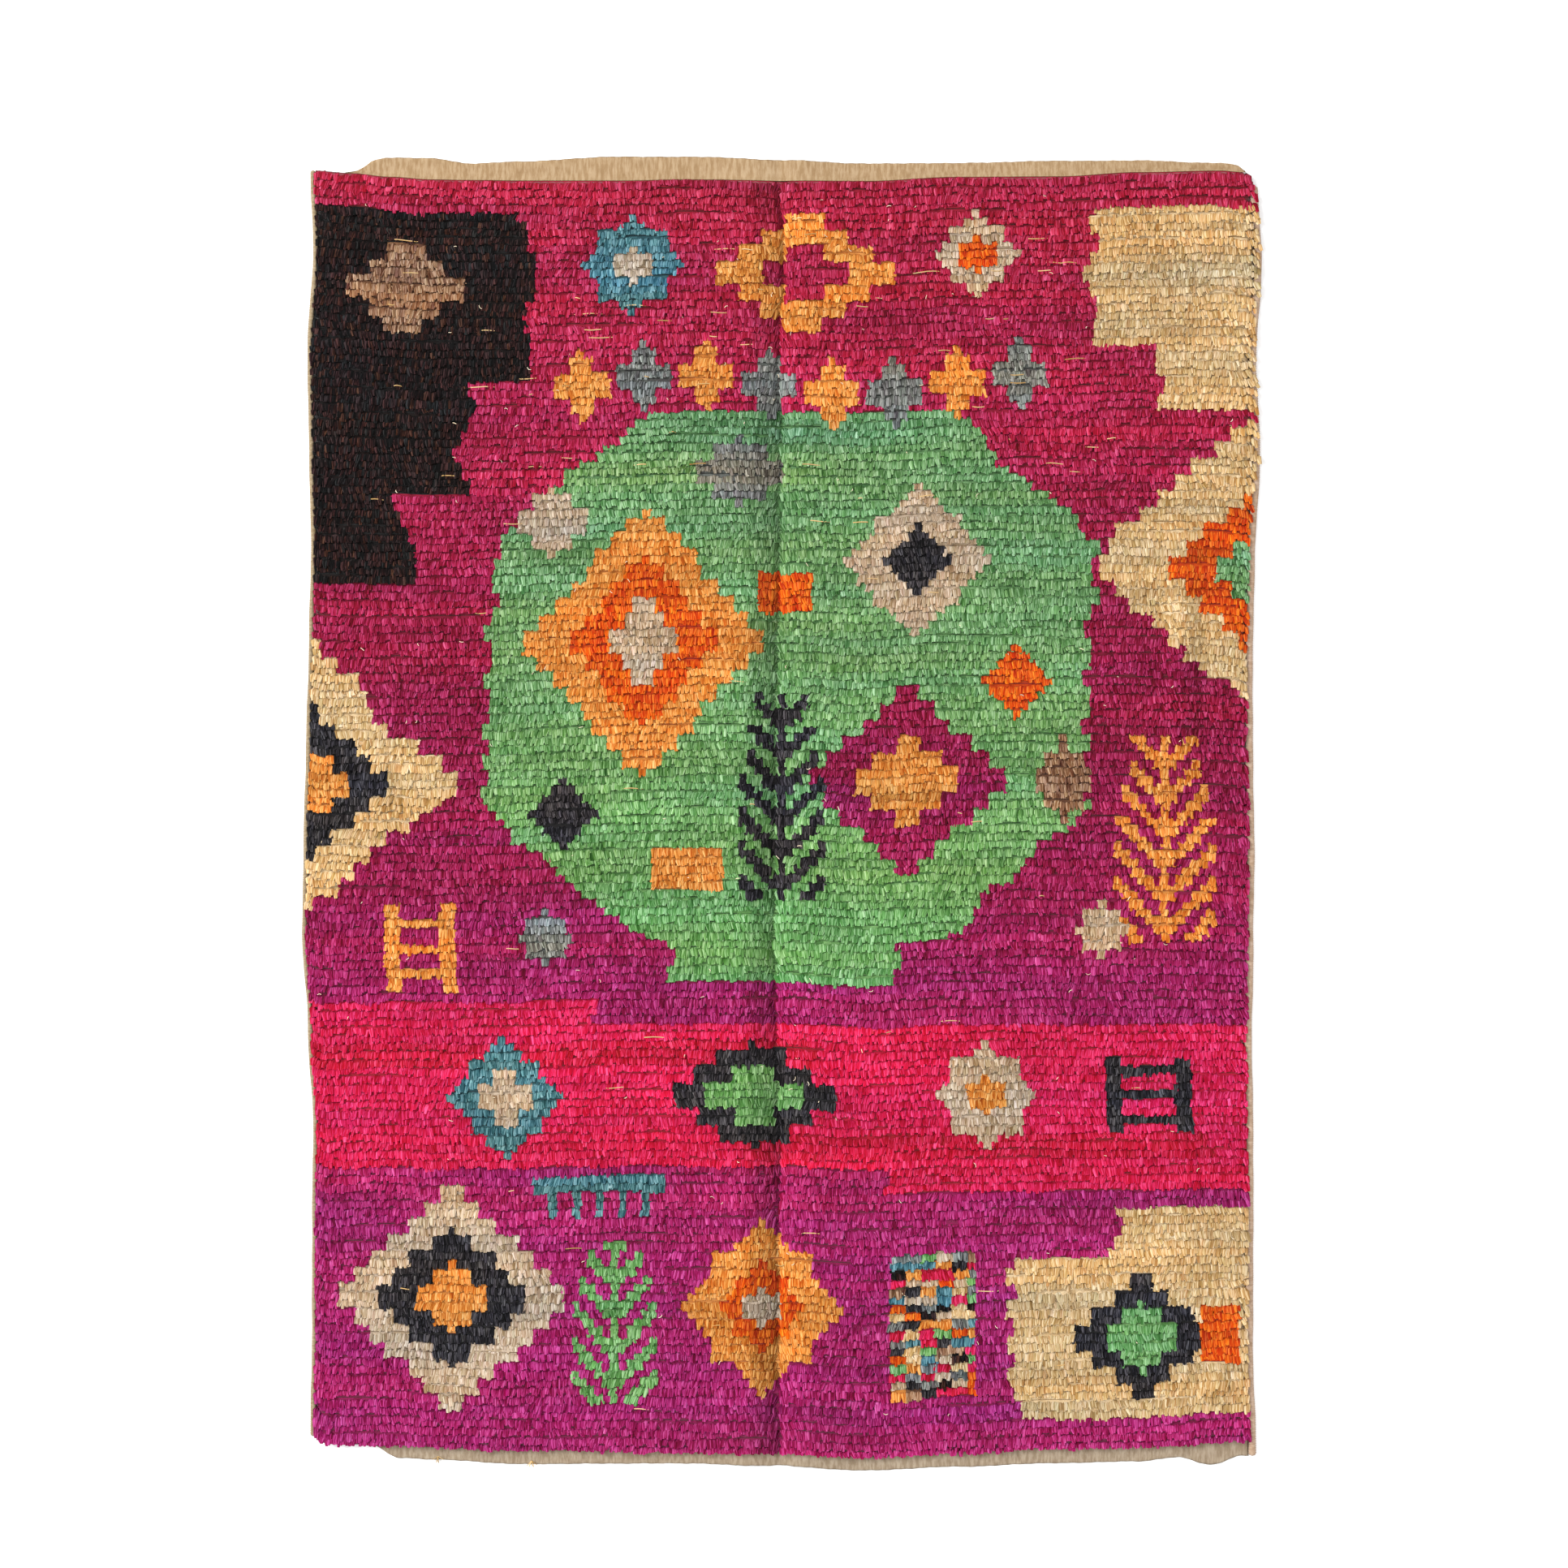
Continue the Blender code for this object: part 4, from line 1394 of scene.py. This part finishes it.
@dataclass
class Studio:
    """The plain pale floor, the soft light and the camera straight above."""

    lie_centre: np.ndarray
    lens: float = 60.0
    sensor: float = 36.0
    frame_width: float = 1932 * 1.55 * MM
    middle_from_rug: tuple[float, float] = (0.0039, 0.0543)
    floor_side: float = 14
    sky: float = 0.95

    def build(self) -> None:
        """Sets the floor, the lights and the camera."""
        self.lay_floor()
        self.light()
        self.aim()

    def lay_floor(self) -> None:
        """Lays a matt white board with a faint mottle, big enough to fill the view."""
        deselect_all()
        bpy.ops.mesh.primitive_plane_add(size=self.floor_side, location=(0, 0, 0))
        floor = bpy.context.object
        floor.name = "studio_floor"
        material, tree, shader = new_material("matt_white_board", {"Roughness": 0.9})
        place = add_node(tree, "ShaderNodeTexCoord").outputs["Object"]
        mottle = add_node(tree, "ShaderNodeTexNoise", {"Scale": 3.0, "Detail": 2.0}, {"Vector": place})
        whites = {"data_type": "RGBA", 6: (0.84, 0.84, 0.84, 1), 7: (0.87, 0.87, 0.87, 1)}
        white = add_node(tree, "ShaderNodeMix", whites, {0: mottle.outputs["Fac"]})
        tree.links.new(white.outputs[2], shader.inputs["Base Color"])
        floor.data.materials.append(material)

    def light(self) -> None:
        """Hangs a large soft light at the upper left and a weaker one opposite, under an even sky."""
        for name, place, power, size in (
            ("key_softbox", (-9.0, 4.2, 7.2), 2050, 6.0),
            ("fill_softbox", (3.2, -1.8, 6.0), 160, 3.4),
        ):
            lamp = bpy.data.lights.new(name, "AREA")
            lamp.shape = "SQUARE"
            lamp.size = size
            lamp.energy = power
            holder = bpy.data.objects.new(name, lamp)
            holder.location = place
            toward = -np.array(place)
            holder.rotation_euler = (
                math.acos(-toward[2] / np.linalg.norm(toward)),
                0,
                math.atan2(toward[1], toward[0]) - math.pi / 2,
            )
            bpy.context.scene.collection.objects.link(holder)
        world = bpy.data.worlds.new("even_sky")
        world.use_nodes = True
        sky = world.node_tree.nodes["Background"]
        sky.inputs["Color"].default_value = (1, 1, 1, 1)
        sky.inputs["Strength"].default_value = self.sky
        bpy.context.scene.world = world

    def aim(self) -> None:
        """Sets the camera straight above, at the distance that frames the photograph's width."""
        lens = bpy.data.cameras.new("camera")
        lens.lens = self.lens
        lens.sensor_width = self.sensor
        lens.clip_end = 60
        camera = bpy.data.objects.new("camera", lens)
        high = self.frame_width * self.lens / self.sensor
        camera.location = (
            self.lie_centre[0] + self.middle_from_rug[0],
            self.lie_centre[1] + self.middle_from_rug[1],
            high,
        )
        bpy.context.scene.collection.objects.link(camera)
        bpy.context.scene.camera = camera
        bpy.context.scene.view_settings.view_transform = "Standard"


def seat(piece: Object, step: np.ndarray, node: str) -> None:
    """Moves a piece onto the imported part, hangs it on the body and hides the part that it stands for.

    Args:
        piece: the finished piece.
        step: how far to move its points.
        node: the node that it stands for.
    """
    piece.data.vertices.foreach_set("co", (points_of(piece) + step).ravel())
    piece.data.update()
    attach(piece, BODY)
    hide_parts(node)
    piece.data.calc_loop_triangles()
    LOG.info("%s: %d triangles", piece.name, len(piece.data.loop_triangles))


def packed(name: str, slot: str, light: str, dark: str) -> WoolFinish:
    """Undyed wool woven or wound so closely that its streaks are faint."""
    return WoolFinish(name, slot, (light, dark), streak_depth=0.12)


def main() -> None:
    """Builds the rug and its studio."""
    logging.basicConfig(level=logging.INFO, format="%(name)s: %(message)s")
    lie = Lie()
    step = lie.centre()
    chart = Chart(lie.rows, lie.knots)
    Studio(step).build()

    pile_wool = WoolFinish("hand_spun_dyed_wool_cut_pile", "pile_wool")
    band_top = packed("top_weft_faced_undyed_wool", "top_band_weave", "#9f8768", "#886e50")
    band_bottom = packed("bottom_weft_faced_undyed_wool", "bottom_band_weave", "#978873", "#7c6b59")
    cord_left = packed("left_overcast_undyed_wool", "left_cord_wool", "#93836b", "#7d6b50")
    cord_right = packed("right_overcast_undyed_wool", "right_cord_wool", "#b19987", "#957b62")

    cloth = GroundCloth(lie, chart).build()
    seat(cloth, step, "rug_field")
    pile = Pile(lie, chart, pile_wool).build()
    for piece in pile:
        seat(piece, step, "rug_field")
    parts = (
        EndWeave(lie, "top_band", TOP_STOPS, 1.0, (0.031, 0.9945), band_top, climb=7 * MM, taper_right=0.009),
        EndWeave(lie, "bottom_band", BOTTOM_STOPS, 0.0, (0.0596, 1.0), band_bottom),
        Selvedge(lie, "left_cord", -1, lie.left_cord + 1.4 * MM, cord_left, past_band=False),
        Selvedge(lie, "right_cord", 1, lie.right_cord + 1.4 * MM, cord_right, past_band=True),
    )
    loose = LooseYarn(lie, WoolFinish("thin_undyed_wool_yarn", "top_band_weave"))
    extras = [loose.build_glimpses(), loose.build_lint(), loose.build_knots()]
    for piece, node in zip(extras, ("rug_field", "rug_field", "end_weave_bottom")):
        seat(piece, step, node)
    nodes = ("end_weave_top", "end_weave_bottom", "selvedge_left", "selvedge_right")
    edges = []
    for part, node in zip(parts, nodes):
        edges.append(part.build())
        seat(edges[-1], step, node)


if __name__ == "__main__":
    main()
